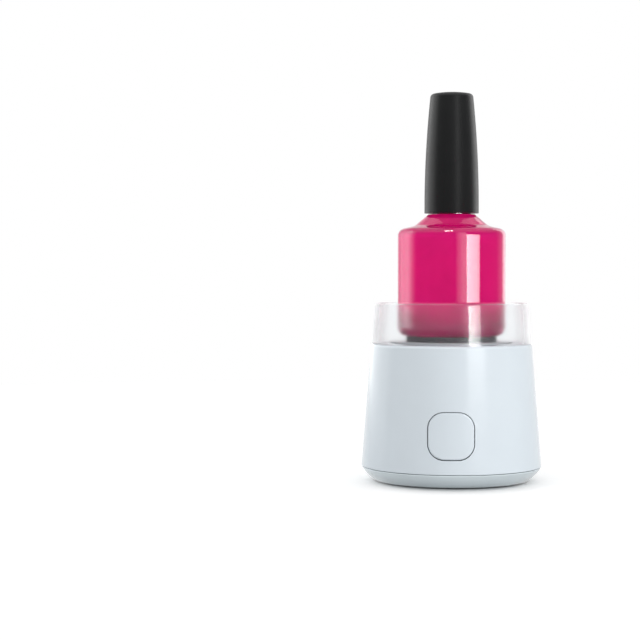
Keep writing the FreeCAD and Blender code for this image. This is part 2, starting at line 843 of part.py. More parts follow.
def make_base_pan():
    floor = turned(
        "pan_shell",
        [
            (0, "pan_underside"),
            ("pan_flat_radius", "pan_underside", "pan_side_curve", 1),
            ("pan_rim_radius", "seam_height - seam_gap - pan_rim_band"),
            ("pan_rim_radius", "seam_height - seam_gap"),
            ("pan_rim_radius - seam_gap_depth", "seam_height - seam_gap"),
            ("pan_rim_radius - seam_gap_depth", "seam_height"),
            ("lip_outer", "seam_height"),
            ("lip_outer", "lip_top"),
            ("lip_inner", "lip_top"),
            ("lip_inner", "pan_floor_top + pan_corner_rise"),
            ("lip_inner - pan_corner_run", "pan_floor_top"),
            (0, "pan_floor_top"),
        ],
    )
    solids, holes = [floor], []
    for angle in CLOSING_ANGLES:
        spot = around("closing_circle", angle)
        solids.append(
            post("closing_pillar", "closing_pillar_radius", "pan_underside", "closing_joint_height", *spot)
        )
        holes.append(
            post(
                "closing_hole",
                "case_screw_radius + hole_margin",
                "pan_underside",
                "closing_joint_height",
                *spot,
            )
        )
        holes.append(
            post(
                "closing_sink",
                "case_screw_head_radius + hole_margin",
                "pan_underside",
                "closing_seat",
                *spot,
            )
        )
    for across, along in BOARD_HOLES:
        solids.append(
            post("board_pillar", "board_pillar_radius", "pan_underside", "board_bottom", across, along)
        )
        pilot_bottom = "board_top - board_screw_length - moving_gap"
        holes.append(
            post(
                "board_pilot",
                "small_screw_radius + running_gap",
                pilot_bottom,
                "board_bottom",
                across,
                along,
            )
        )
    for side in ("-", ""):
        near = f"{side}(cell_half_width + tray_rib_margin)"
        far = f"{side}(cell_half_width + tray_rib_margin + tray_rib_thickness)"
        across = (far, near) if side else (near, far)
        along = ("-tray_rib_half_length", "tray_rib_half_length")
        up = ("pan_underside", "pan_floor_top + tray_rib_height")
        solids.append(block("tray_rib", across, along, up))
    for angle in FOOT_ANGLES:
        spot = around("foot_circle", angle)
        holes.append(
            post("foot_recess", "foot_radius + still_gap", "pan_underside", "foot_height", *spot)
        )
    finish(cut("pan", joined("pan_solid", *solids), *holes), "base_pan")


def make_rubber_feet():
    feet = []
    for angle in FOOT_ANGLES:
        spot = around("foot_circle", angle)
        pad = post("foot_pad", "foot_radius", "foot_bevel", "foot_height", *spot)
        bevel = doc.addObject("Part::Cone", "foot_bevel_cone")
        bind(bevel, Radius1="foot_radius - foot_bevel", Radius2="foot_radius", Height="foot_bevel")
        place(bevel, *spot)
        feet.append(joined("foot", pad, bevel))
    finish(group("feet", feet), "rubber_feet")


def make_screws():
    closing = [
        screw(
            "housing_screw",
            *around("closing_circle", angle),
            "closing_seat",
            "case_screw",
            "case_screw_length",
            True,
        )
        for angle in CLOSING_ANGLES
    ]
    finish(group("closing_screws", closing), "housing_screws")
    board = [
        screw("board_screw", *spot, "board_top", "small_screw", "board_screw_length", False)
        for spot in BOARD_HOLES
    ]
    finish(group("board_screw_set", board), "board_screws")
    bracket = [
        screw(
            "bracket_screw",
            *around("bracket_circle", angle),
            "bracket_bottom",
            "small_screw",
            "bracket_screw_length",
            True,
        )
        for angle in ARM_ANGLES
    ]
    finish(group("bracket_screw_set", bracket), "bracket_screws")
    motor = [
        screw("motor_screw", spot, "0", "bracket_top", "small_screw", "motor_screw_length", False)
        for spot in MOTOR_SCREW_SPOTS
    ]
    finish(group("motor_screw_set", motor), "motor_screws")
    platform = [
        screw(
            "platform_screw",
            *around("platform_screw_circle", angle, "orbit_offset"),
            "platform_top - small_screw_head_height",
            "small_screw",
            "platform_screw_length",
            False,
        )
        for angle in ARM_ANGLES
    ]
    finish(group("platform_screw_set", platform), "platform_screws")


# Button, its guide and the switch behind it


def make_button():
    cap = prism(
        "button_cap",
        rounded("button_width", "button_height", "button_corner", "button_middle"),
        f"-({OUTSIDE})",
        "-flange_front",
    )
    front = common("button_front", cap, taper_solid("button_trim", "seam_height", "deck_height", 0))
    inner_reach = value("flange_front") + value("moving_gap")
    face = rounding_of(
        "button_face",
        front,
        "button_edge_round",
        lambda edge: max(vertex.Y for vertex in edge.Vertexes) < -inner_reach
        and edge.BoundBox.YMax < -inner_reach,
    )
    flange = prism(
        "button_flange",
        rounded("flange_width", "flange_height", "flange_corner", "button_middle"),
        "-flange_front",
        "-flange_rear",
    )
    stem = rod("button_stem", "button_stem_radius", "-flange_rear", "-stem_tip", up="button_middle")
    finish(joined("button_solid", face, flange, stem), "button")


def make_button_guide():
    frame = prism(
        "guide_frame",
        rounded("landing_width", "landing_height", "landing_corner", "button_middle"),
        "-button_landing",
        "-guide_rear",
    )
    pocket = prism(
        "guide_pocket",
        rounded(
            "flange_width + 2 * slide_gap",
            "flange_height + 2 * slide_gap",
            "flange_corner + slide_gap",
            "button_middle",
        ),
        "-button_landing",
        "-guide_floor",
    )
    window = prism(
        "guide_window_cut",
        rounded("guide_window", "guide_window", "button_stem_radius", "button_middle"),
        "-guide_floor",
        "-guide_rear",
    )
    finish(cut("guide", frame, pocket, window), "button_guide")


def make_switch():
    half = "switch_width / 2"
    rear = "-switch_front + switch_depth"
    case = block(
        "switch_case",
        (f"-{half}", half),
        ("-switch_front", rear),
        (f"button_middle - {half}", f"button_middle + {half}"),
    )
    foot = block(
        "switch_foot",
        (f"-{half}", half),
        ("-board_front", rear),
        ("board_top", f"button_middle - {half}"),
    )
    bore_end = "-switch_front + switch_bore_depth"
    bore = rod("switch_bore", "plunger_radius + hole_margin", "-switch_front", bore_end, up="button_middle")
    finish(cut("switch", joined("switch_solid", case, foot), bore), "switch_body")
    seat = "-switch_front + plunger_seat"
    plunger = rod("plunger", "plunger_radius", "-plunger_tip", seat, up="button_middle")
    finish(plunger, "switch_plunger")


# Board, battery and charging inlet


def make_main_board():
    disc = post("board_disc", "board_radius", "board_bottom", "board_top")
    band = block(
        "board_band",
        ("-board_half_width", "board_half_width"),
        ("-board_front", "board_radius"),
        ("board_bottom", "board_top"),
    )
    holes = [
        post("board_hole", "small_screw_radius + hole_margin", "board_bottom", "board_top", *spot)
        for spot in BOARD_HOLES
    ]
    finish(cut("board", common("board_blank", disc, band), *holes), "main_board")


# Each chip's place across and along the board, and its width, depth and height
CHIPS = {
    "controller": (-4.0, -7.0, 5.0, 5.0, 0.9),
    "charger": (5.0, 8.0, 3.0, 3.0, 0.8),
    "coil": (-5.0, 10.5, 4.0, 4.0, 1.8),
    "driver": (5.0, -6.0, 3.0, 1.6, 1.0),
    "capacitor": (4.5, -10.5, 2.0, 1.2, 1.2),
    "resistor": (-8.0, 2.5, 1.6, 0.8, 0.5),
}


def make_board_chips():
    chips = []
    for name, (across, along, width, depth, height) in CHIPS.items():
        chips.append(
            block(
                name,
                (across - width / 2, across + width / 2),
                (along - depth / 2, along + depth / 2),
                ("board_top", f"board_top + {height}"),
            )
        )
    finish(group("chips", chips), "board_chips")


def make_inlet():
    outside = prism(
        "inlet_outside",
        rounded("inlet_width", "inlet_height", "inlet_corner", "inlet_middle"),
        "inlet_back",
        "inlet_mouth",
    )
    inside = prism(
        "inlet_inside",
        rounded(
            "inlet_width - 2 * inlet_sheet",
            "inlet_height - 2 * inlet_sheet",
            "inlet_corner - inlet_sheet",
            "inlet_middle",
        ),
        "inlet_back + inlet_sheet",
        "inlet_mouth",
    )
    finish(cut("inlet_shell", outside, inside), "usb_shell")
    block_reach = "inlet_mouth - inlet_sheet - tongue_length"
    root = prism(
        "tongue_root",
        rounded(
            "inlet_width - 2 * inlet_sheet - 2 * still_gap",
            "inlet_height - 2 * inlet_sheet - 2 * still_gap",
            "inlet_corner - inlet_sheet - still_gap",
            "inlet_middle",
        ),
        "inlet_back + inlet_sheet",
        block_reach,
    )
    tongue = block(
        "tongue",
        ("-tongue_width / 2", "tongue_width / 2"),
        (block_reach, "inlet_mouth - inlet_sheet"),
        ("inlet_middle - tongue_height / 2", "inlet_middle + tongue_height / 2"),
    )
    finish(joined("inlet_tongue", root, tongue), "usb_tongue")


def make_battery():
    half = "cell_half_width"
    middle = "(cell_back - cell_front) / 2"
    length = "cell_front + cell_back"
    pouch = rounded(f"2 * {half}", length, "cell_corner", middle)
    finish(plate("cell", pouch, "tape_top", "cell_top"), "battery_cell")
    tape = rounded(f"2 * ({half} - cell_corner)", f"{length} - 2 * cell_corner", "cell_corner", middle)
    finish(plate("tape", tape, "pan_floor_top", "tape_top"), "battery_tape")
    plug_front = "cell_back + connector_gap"
    connector = block(
        "connector",
        ("-connector_half_width", "connector_half_width"),
        (plug_front, f"{plug_front} + connector_depth"),
        ("board_bottom - connector_height", "board_bottom"),
    )
    finish(connector, "battery_connector")
    leads = [
        rod("cell_lead", "cell_lead_radius", "cell_back", plug_front, spot, "cell_lead_height")
        for spot in ("-cell_lead_spread", "cell_lead_spread")
    ]
    finish(group("cell_leads", leads), "battery_leads")


# Motor, bracket and guide pins


def make_motor_bracket():
    span = ("bracket_bottom", "bracket_top")
    solids = [post("bracket_disc", "bracket_disc_radius", *span)]
    holes = [post("bracket_bore", "can_nose_radius + hole_margin", *span)]
    for angle in ARM_ANGLES:
        spot = around("bracket_circle", angle)
        solids.append(spoke("bracket_arm", angle, 0, "bracket_circle", "bracket_arm_width", *span))
        solids.append(post("bracket_arm_end", "bracket_arm_width / 2", *span, *spot))
        holes.append(post("bracket_arm_hole", "small_screw_radius + hole_margin", *span, *spot))
    for angle in PIN_ANGLES:
        spot = around("pin_circle", angle)
        holes.append(post("pin_hole", "pin_radius + running_gap", *span, *spot))
    for across in MOTOR_SCREW_SPOTS:
        holes.append(post("motor_screw_hole", "small_screw_radius + hole_margin", *span, across))
    finish(cut("bracket", joined("bracket_solid", *solids), *holes), "motor_bracket")


def make_guide_pins():
    pins, rollers = [], []
    for angle in PIN_ANGLES:
        spot = around("pin_circle", angle)
        pins.append(post("guide_pin", "pin_radius", "bracket_bottom + still_gap", "pin_top", *spot))
        span = ("bracket_top + still_gap", "pin_top")
        sleeve = post("roller_sleeve", "roller_radius", *span, *spot)
        bore = post("roller_bore", "pin_radius + running_gap", *span, *spot)
        rollers.append(cut("roller", sleeve, bore))
    finish(group("pins", pins), "guide_pins")
    finish(group("rollers", rollers), "pin_rollers")


def make_motor_case():
    can = turned(
        "can",
        [
            ("bush_radius", "can_roof"),
            ("can_inner_radius", "can_roof"),
            ("can_inner_radius", "can_bottom"),
            ("motor_radius", "can_bottom"),
            ("motor_radius", "bracket_bottom"),
            ("can_nose_radius", "bracket_bottom"),
            ("can_nose_radius", "can_nose_top"),
            ("bush_radius", "can_nose_top"),
        ],
    )
    holes = [
        post("can_screw_hole", "small_screw_radius + running_gap", "can_roof", "bracket_bottom", across)
        for across in MOTOR_SCREW_SPOTS
    ]
    finish(cut("can_drilled", can, *holes), "motor_can")
    plug_radius = "can_inner_radius - still_gap"
    endcap = turned(
        "endcap",
        [
            ("bush_radius", "endcap_nose_bottom"),
            ("can_nose_radius", "endcap_nose_bottom"),
            ("can_nose_radius", "endcap_bottom"),
            ("motor_radius", "endcap_bottom"),
            ("motor_radius", "can_bottom"),
            (plug_radius, "can_bottom"),
            (plug_radius, "can_bottom + endcap_plug_height"),
            (f"{plug_radius} - endcap_plug_wall", "can_bottom + endcap_plug_height"),
            (f"{plug_radius} - endcap_plug_wall", "can_bottom"),
            ("bush_radius", "can_bottom"),
        ],
    )
    finish(endcap, "motor_endcap")
    bushes = []
    for bottom, top in (("endcap_nose_bottom", "can_bottom"), ("can_roof", "can_nose_top")):
        ring = post("bush_ring", "bush_radius", bottom, top)
        bushes.append(cut("bush", ring, post("bush_bore", "shaft_radius + running_gap", bottom, top)))
    finish(group("bushes", bushes), "motor_bushes")
    magnets = [
        sector(
            "magnet",
            "magnet_inner_radius",
            "can_inner_radius - still_gap",
            "magnet_bottom",
            "magnet_top",
            angle,
            "magnet_sweep",
        )
        for angle in MAGNET_ANGLES
    ]
    finish(group("magnets", magnets), "motor_magnets")


def make_motor_contacts():
    up = ("can_bottom", "can_bottom + brush_height")
    half = "brush_width / 2"
    outer = "brush_inner + brush_length"
    brushes = [
        block("brush", ("brush_inner", outer), (f"-{half}", half), up),
        block("brush", (f"-({outer})", "-(brush_inner)"), (f"-{half}", half), up),
    ]
    finish(group("brushes", brushes), "motor_brushes")
    terminals, leads = [], []
    for side in ("-terminal_spread", "terminal_spread"):
        across = ("-terminal_width / 2", "terminal_width / 2")
        along = (f"{side} - terminal_sheet / 2", f"{side} + terminal_sheet / 2")
        terminals.append(block("terminal", across, along, ("terminal_bottom", "endcap_bottom")))
        leads.append(post("motor_lead", "motor_lead_radius", "board_top", "terminal_bottom", 0, side))
    finish(group("terminals", terminals), "motor_terminals")
    finish(group("leads", leads), "motor_leads")


# Rotor: shaft, armature, commutator and crank


def make_rotor():
    finish(post("shaft", "shaft_radius", "endcap_nose_bottom", "shaft_top"), "motor_shaft")
    span = ("armature_bottom", "armature_top")
    solids = [post("armature_hub", "armature_hub_radius", *span)]
    coils = []
    angles = [number * 360 / SIZES["pole_count"] for number in range(int(SIZES["pole_count"]))]
    for angle in angles:
        solids.append(spoke("pole_web", angle, 0, "armature_radius - still_gap", "pole_width", *span))
        solids.append(
            sector(
                "pole_shoe",
                "pole_shoe_inner",
                "armature_radius",
                *span,
                angle,
                "pole_shoe_sweep",
            )
        )
        half_width = "(pole_width / 2 + coil_build)"
        outer = f"sqrt(pole_shoe_inner ^ 2 - {half_width} ^ 2) - still_gap"
        coil_span = ("armature_bottom - coil_build", "armature_top + coil_build")
        coil = spoke("coil_block", angle, "coil_inner", outer, f"2 * {half_width}", *coil_span)
        web = spoke("coil_room", angle, 0, "armature_radius", "pole_width", *span)
        coils.append(cut("coil_winding", coil, web))
    bore = post("armature_bore", "shaft_radius", *span)
    finish(cut("armature", joined("armature_solid", *solids), bore), "armature_core")
    finish(group("coils", coils), "armature_windings")
    span = ("commutator_bottom", "armature_bottom")
    ring = post("commutator_ring", "commutator_radius", *span)
    finish(cut("commutator_part", ring, post("commutator_bore", "shaft_radius", *span)), "commutator")


def make_eccentric_hub():
    body = post("hub_body", "hub_radius", "hub_bottom", "hub_top")
    disc = post("weight_disc", "counterweight_radius", "hub_bottom", "hub_top")
    half = block(
        "weight_half",
        ("-counterweight_radius", "counterweight_radius"),
        ("-counterweight_radius", 0),
        ("hub_bottom", "hub_top"),
    )
    weight = common("counterweight", disc, half)
    at_crank = (0, "orbit_offset")
    shoulder = post("crank_shoulder", "crank_shoulder_radius", "hub_top", "bearing_bottom", *at_crank)
    pin = post("crank_pin", "crank_pin_radius", "hub_top", "crank_pin_top", *at_crank)
    bore = post("hub_bore", "shaft_radius", "hub_bottom", "shaft_top")
    screw_hole = rod("set_screw_hole", "set_screw_radius", 0, "hub_radius", up="hub_middle")
    hub = joined("hub_solid", body, weight, shoulder, pin)
    finish(cut("hub", hub, bore, screw_hole), "eccentric_hub")
    screw_end = "hub_radius - still_gap"
    stud = rod("set_screw_stud", "set_screw_radius", "shaft_radius", screw_end, up="hub_middle")
    socket = rod(
        "set_screw_socket",
        "set_screw_socket_radius",
        f"{screw_end} - set_screw_socket_depth",
        screw_end,
        up="hub_middle",
    )
    finish(cut("set_screw", stud, socket), "hub_set_screw")


# Bearing on the crank pin


def make_bearing():
    span = ("bearing_bottom", "bearing_top")

    def ring(name, outer, inner):
        blank = cut(
            name + "_blank",
            post(name + "_outer", outer, *span, 0, "orbit_offset"),
            post(name + "_inner", inner, *span, 0, "orbit_offset"),
        )
        groove = doc.addObject("Part::Torus", name + "_groove")
        bind(groove, Radius1="ball_circle", Radius2="groove_radius")
        place(groove, 0, "orbit_offset", "bearing_middle")
        return cut(name, blank, groove)

    finish(ring("inner_race", "inner_ring_radius", "crank_pin_radius"), "bearing_inner_ring")
    finish(ring("outer_race", "bearing_outer_radius", "outer_ring_radius"), "bearing_outer_ring")
    balls, pockets = [], []
    pocket_span = ("bearing_middle - ball_radius - cage_play", "bearing_top")
    pocket_radius = "ball_radius + cage_play"
    for number in range(int(SIZES["ball_count"])):
        angle = number * 360 / SIZES["ball_count"]
        spot = around("ball_circle", angle, "orbit_offset")
        balls.append(ball("bearing_ball", "ball_radius", *spot, "bearing_middle"))
        pockets.append(post("cage_pocket", pocket_radius, *pocket_span, *spot))
    finish(group("ball_set", balls), "bearing_balls")
    span = ("bearing_middle - cage_height / 2", "bearing_middle + cage_height / 2")
    band = cut(
        "cage_band",
        post("cage_outer", "cage_outer_radius", *span, 0, "orbit_offset"),
        post("cage_inner", "cage_inner_radius", *span, 0, "orbit_offset"),
    )
    finish(cut("cage", band, *pockets), "bearing_cage")


# Carrier, platform and grip pad, centred on the crank pin


def make_orbit_carrier():
    carrier = turned(
        "carrier_turned",
        [
            (0, "bearing_top"),
            ("bearing_outer_radius", "bearing_top"),
            ("bearing_outer_radius", "carrier_bottom"),
            ("carrier_hub_radius", "carrier_bottom"),
            ("carrier_hub_radius", "flange_bottom"),
            ("flange_radius", "flange_bottom"),
            ("flange_radius", "flange_top"),
            ("carrier_hub_radius", "flange_top"),
            ("carrier_hub_radius", "platform_bottom"),
            (0, "platform_bottom"),
        ],
        "orbit_offset",
    )
    holes = []
    for angle in PIN_ANGLES:
        spot = around("pin_circle", angle, "orbit_offset")
        holes.append(post("roller_hole", "roller_hole_radius", "flange_bottom", "flange_top", *spot))
    for angle in ARM_ANGLES:
        spot = around("platform_screw_circle", angle, "orbit_offset")
        depth = "platform_top - small_screw_head_height - platform_screw_length - still_gap"
        holes.append(
            post("platform_pilot", "small_screw_radius + running_gap", depth, "platform_bottom", *spot)
        )
    finish(cut("carrier", carrier, *holes), "orbit_carrier")


def make_platform():
    disc = turned(
        "platform_disc",
        [
            (0, "platform_bottom"),
            ("platform_radius", "platform_bottom"),
            ("platform_radius", "platform_top"),
            (0, "platform_top"),
        ],
        "orbit_offset",
    )
    rounding(disc, "platform_edge_round", ring_edge("platform_radius", "platform_top"))
    holes = []
    for angle in ARM_ANGLES:
        spot = around("platform_screw_circle", angle, "orbit_offset")
        span = ("platform_bottom", "platform_top")
        holes.append(post("platform_hole", "small_screw_radius + hole_margin", *span, *spot))
        sink = ("platform_top - small_screw_head_height", "platform_top")
        holes.append(post("platform_sink", "small_screw_head_radius + hole_margin", *sink, *spot))
    finish(cut("platform_part", disc, *holes), "platform")


def make_grip_pad():
    disc = turned(
        "pad_disc",
        [
            (0, "platform_top"),
            ("pad_radius", "platform_top"),
            ("pad_radius", "pad_top"),
            (0, "pad_top"),
        ],
        "orbit_offset",
    )
    rounding(disc, "pad_edge_round", ring_edge("pad_radius", "pad_top"))
    grooves = []
    span = ("pad_top - pad_groove_depth", "pad_top")
    for number in range(1, int(SIZES["pad_groove_count"]) + 1):
        outer = f"{number} * pad_groove_pitch + pad_groove_width"
        inner = f"{number} * pad_groove_pitch"
        grooves.append(
            cut(
                "pad_groove",
                post("groove_outer", outer, *span, 0, "orbit_offset"),
                post("groove_inner", inner, *span, 0, "orbit_offset"),
            )
        )
    finish(cut("pad", disc, *grooves), "grip_pad")


# Bottle, polish and mixing balls


def make_bottle():
    blank = turned(
        "bottle_blank",
        [
            (0, "bottle_bottom"),
            ("bottle_radius", "bottle_bottom"),
            ("bottle_radius", "bottle_corner"),
            ("bottle_shoulder_radius", "root_corner"),
            ("bottle_root_radius", "root_top"),
            ("neck_radius", "root_top"),
            ("neck_radius", "neck_top"),
            (0, "neck_top"),
        ],
        "orbit_offset",
    )
    rounding(blank, "bottle_heel_round", ring_edge("bottle_radius", "bottle_bottom"))
    rounding(blank, "bottle_shoulder_round", ring_edge("bottle_radius", "bottle_corner"))
    rounding(blank, "bottle_root_round", ring_edge("bottle_shoulder_radius", "root_corner"))
    solids = [blank]
    for number in range(int(SIZES["thread_turns"])):
        bead = doc.addObject("Part::Torus", "thread_bead")
        bind(bead, Radius1="neck_radius", Radius2="thread_depth")
        place(bead, 0, "orbit_offset", f"root_top + thread_start + {number} * thread_pitch")
        solids.append(bead)
    bore = [("neck_bore_radius", "cavity_throat"), ("neck_bore_radius", "neck_top"), (0, "neck_top")]
    cavity = make_cavity("bottle_cavity", "0", bore)
    push_up = doc.addObject("Part::Cone", "bottle_push_up")
    bind(push_up, Radius1="bottle_push_up_radius", Radius2=0, Height="bottle_push_up")
    place(push_up, 0, "orbit_offset", "bottle_bottom")
    finish(cut("bottle", joined("bottle_solid", *solids), cavity, push_up), "bottle_glass")


def make_cavity(name, inset, above):
    """The room inside the bottle, inset from the glass, with the points above the neck's foot."""
    radius = f"cavity_radius - {inset}"
    room = turned(
        name,
        [
            (0, f"cavity_bottom + {inset}"),
            (radius, f"cavity_bottom + {inset}"),
            (radius, f"cavity_corner - {inset}"),
            (f"cavity_root_radius - {inset}", f"cavity_root - {inset}"),
            (f"cavity_throat_radius - {inset}", "root_top"),
            *above,
        ],
        "orbit_offset",
    )
    rounding(room, "bottle_inner_heel_round", ring_edge(radius, f"cavity_bottom + {inset}"))
    rounding(room, "bottle_inner_shoulder_round", ring_edge(radius, f"cavity_corner - {inset}"))
    return room


def make_polish():
    room = make_cavity("polish_room", "liquid_gap", [(0, "root_top")])
    brush_bottom = "bristle_bottom - moving_gap"
    brush_room = post("brush_room", "brush_room_radius", brush_bottom, "root_top", 0, "orbit_offset")
    ball_height = "cavity_bottom + liquid_gap + mixing_ball_radius"
    rooms, balls = [], []
    for side in MIXING_SIDES:
        spot = (side, "orbit_offset", ball_height)
        rooms.append(ball("ball_room", "mixing_ball_radius + liquid_gap", *spot))
        balls.append(ball("mixing_ball", "mixing_ball_radius", *spot))
    finish(cut("polish_solid", room, brush_room, *rooms), "polish")
    finish(group("mixing_ball_set", balls), "mixing_balls")


# Cap, its liner, gasket, stem and bristles


def make_cap():
    shell = turned(
        "cap_blank",
        [
            (0, "cap_bottom"),
            ("cap_base_radius", "cap_bottom", "cap_side_curve", 1),
            ("cap_top_radius", "cap_side_top", "cap_dome_curve", 1),
            (0, "cap_top"),
        ],
        "orbit_offset",
    )
    rounding(shell, "cap_edge_round", ring_edge("cap_top_radius", "cap_side_top"))
    hollow = turned(
        "cap_hollow",
        [
            (0, "cap_bottom"),
            ("liner_outer + still_gap", "cap_bottom"),
            ("liner_outer + still_gap", "liner_top + still_gap"),
            ("cap_top_radius - cap_wall", "cap_top - cap_roof"),
            (0, "cap_top - cap_roof"),
        ],
        "orbit_offset",
    )
    finish(cut("cap", shell, hollow), "bottle_cap")
    liner = turned(
        "liner",
        [
            (0, "liner_ceiling"),
            ("liner_inner", "liner_ceiling"),
            ("liner_inner", "liner_bottom"),
            ("liner_outer", "liner_bottom"),
            ("liner_outer", "liner_top"),
            (0, "liner_top"),
        ],
        "orbit_offset",
    )
    finish(liner, "cap_liner")


def make_brush():
    at_axis = (0, "orbit_offset")
    span = ("neck_top + still_gap", "liner_ceiling")
    disc = post("gasket_disc", "liner_inner - still_gap", *span, *at_axis)
    hole = post("gasket_hole", "stem_radius", *span, *at_axis)
    finish(cut("gasket", disc, hole), "cap_gasket")
    stem = post("stem", "stem_radius", "stem_bottom", "liner_ceiling", *at_axis)
    finish(stem, "brush_stem")
    bristles = turned(
        "bristles",
        [
            (0, "bristle_bottom"),
            ("bristle_radius / 2", "bristle_bottom"),
            ("bristle_radius", "bristle_bottom + bristle_radius"),
            ("bristle_top_radius", "stem_bottom"),
            (0, "stem_bottom"),
        ],
        "orbit_offset",
    )
    finish(bristles, "brush_bristles")


make_outer_housing()
make_guard_collar()
make_base_pan()
make_rubber_feet()
make_screws()
make_button()
make_button_guide()
make_switch()
make_main_board()
make_board_chips()
make_inlet()
make_battery()
make_motor_bracket()
make_guide_pins()
make_motor_case()
make_motor_contacts()
make_rotor()
make_eccentric_hub()
make_bearing()
make_orbit_carrier()
make_platform()
make_grip_pad()
make_bottle()
make_polish()
make_cap()
make_brush()
doc.recompute()

for item in doc.Objects:
    if "Invalid" in item.State or "Error" in item.State:
        raise RuntimeError(f"{item.Label} could not be built: {item.State}")
for item in nodes:
    if item.Shape.isNull() or not item.Shape.isValid():
        raise RuntimeError(f"{item.Label} has no valid shape")

os.makedirs("parts", exist_ok=True)
for item in nodes:
    item.Shape.exportStep(f"parts/{item.Label}.step")
    print(f"{item.Label}: {len(item.Shape.Solids)} solids, {item.Shape.Volume:.1f} mm3")
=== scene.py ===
import math

import bmesh
import bpy
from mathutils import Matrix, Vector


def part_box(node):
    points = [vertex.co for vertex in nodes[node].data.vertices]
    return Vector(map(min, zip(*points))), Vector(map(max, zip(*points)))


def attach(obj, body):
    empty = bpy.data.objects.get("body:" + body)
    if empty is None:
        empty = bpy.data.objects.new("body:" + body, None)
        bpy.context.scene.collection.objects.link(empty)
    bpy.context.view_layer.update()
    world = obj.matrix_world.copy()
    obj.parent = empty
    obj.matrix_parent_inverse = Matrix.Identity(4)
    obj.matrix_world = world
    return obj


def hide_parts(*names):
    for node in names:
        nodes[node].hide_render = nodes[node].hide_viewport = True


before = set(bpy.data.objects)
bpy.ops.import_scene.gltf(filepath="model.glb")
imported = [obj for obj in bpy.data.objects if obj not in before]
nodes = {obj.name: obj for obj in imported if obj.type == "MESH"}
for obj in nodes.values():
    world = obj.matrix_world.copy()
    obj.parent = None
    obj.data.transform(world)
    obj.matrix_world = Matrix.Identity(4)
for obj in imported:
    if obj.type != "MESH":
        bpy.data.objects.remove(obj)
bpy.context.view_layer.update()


# Housing: one tapered shell of glossy pale blue-grey ABS, injection moulded, open below.
# Its skin is smooth with a faint flow mottle, a trace of orange peel and a few soft smears.


def new_tree(name):
    """A named material with an empty node tree."""
    item = bpy.data.materials.new(name)
    item.use_nodes = True
    item.node_tree.nodes.clear()
    return item, item.node_tree


def add(tree, kind, **plain):
    """A node of a tree, with properties or plain input values set by name."""
    node = tree.nodes.new("ShaderNode" + kind)
    for name, setting in plain.items():
        socket = name.replace("_", " ")
        if socket in node.inputs:
            node.inputs[socket].default_value = setting
        else:
            setattr(node, name, setting)
    return node


def start_group(name, inputs, outputs):
    """A node group with named sockets, and its input and output nodes."""
    tree = bpy.data.node_groups.new(name, "ShaderNodeTree")
    kinds = {"colour": "NodeSocketColor", "number": "NodeSocketFloat", "normal": "NodeSocketVector"}
    for direction, sockets in (("INPUT", inputs), ("OUTPUT", outputs)):
        for label, kind in sockets.items():
            tree.interface.new_socket(name=label, in_out=direction, socket_type=kinds[kind])
    return tree, tree.nodes.new("NodeGroupInput"), tree.nodes.new("NodeGroupOutput")


def place_group(tree, group, **plain):
    """A group placed in a material, with its own values."""
    node = tree.nodes.new("ShaderNodeGroup")
    node.node_tree = group
    for name, setting in plain.items():
        node.inputs[name.replace("_", " ")].default_value = setting
    return node


def maths(tree, operation, *operands):
    """A maths node fed with sockets or plain numbers; gives its output."""
    node = add(tree, "Math", operation=operation)
    for socket, operand in zip(node.inputs, operands):
        if isinstance(operand, float):
            socket.default_value = operand
        else:
            tree.links.new(operand, socket)
    return node.outputs[0]


NOISE_MIDDLE = 0.5


def build_moulded_skin():
    """Colour mottle, roughness smears and a fine grain for moulded pieces."""
    tree, given, out = start_group(
        "moulded_skin",
        {
            "Colour": "colour",
            "Mottle": "number",
            "Roughness": "number",
            "Smear": "number",
            "Grain Scale": "number",
            "Grain Depth": "number",
        },
        {"Colour": "colour", "Roughness": "number", "Normal": "normal"},
    )
    spot = add(tree, "TexCoord")
    flow = add(tree, "TexNoise", Scale=90.0, Detail=3.0, Distortion=0.6)
    smear = add(tree, "TexNoise", Scale=160.0, Detail=5.0, Roughness=0.6, Distortion=1.5)
    grain = add(tree, "TexNoise", Detail=2.0)
    for texture in (flow, smear, grain):
        tree.links.new(spot.outputs["Object"], texture.inputs["Vector"])
    tree.links.new(given.outputs["Grain Scale"], grain.inputs["Scale"])
    centred = maths(tree, "SUBTRACT", flow.outputs["Fac"], NOISE_MIDDLE)
    lift = maths(tree, "MULTIPLY_ADD", centred, given.outputs["Mottle"], 1.0)
    shade = add(tree, "HueSaturation")
    tree.links.new(given.outputs["Colour"], shade.inputs["Color"])
    tree.links.new(lift, shade.inputs["Value"])
    tree.links.new(shade.outputs["Color"], out.inputs["Colour"])
    spread = add(tree, "MapRange", From_Min=0.35, From_Max=0.75)
    tree.links.new(smear.outputs["Fac"], spread.inputs["Value"])
    rough = maths(
        tree,
        "MULTIPLY_ADD",
        spread.outputs["Result"],
        given.outputs["Smear"],
        given.outputs["Roughness"],
    )
    tree.links.new(rough, out.inputs["Roughness"])
    bump = add(tree, "Bump", Distance=0.0001)
    tree.links.new(given.outputs["Grain Depth"], bump.inputs["Strength"])
    tree.links.new(grain.outputs["Fac"], bump.inputs["Height"])
    tree.links.new(bump.outputs["Normal"], out.inputs["Normal"])
    return tree


MOULDED_SKIN = build_moulded_skin()


def feed(tree, skin, shader):
    """Links the colour, roughness and normal that a group puts out to a shader."""
    tree.links.new(skin.outputs["Colour"], shader.inputs["Base Color"])
    tree.links.new(skin.outputs["Roughness"], shader.inputs["Roughness"])
    tree.links.new(skin.outputs["Normal"], shader.inputs["Normal"])


def show(tree, shader):
    """Sends a shader to the surface."""
    out = tree.nodes.new("ShaderNodeOutputMaterial")
    tree.links.new(shader.outputs[0], out.inputs["Surface"])


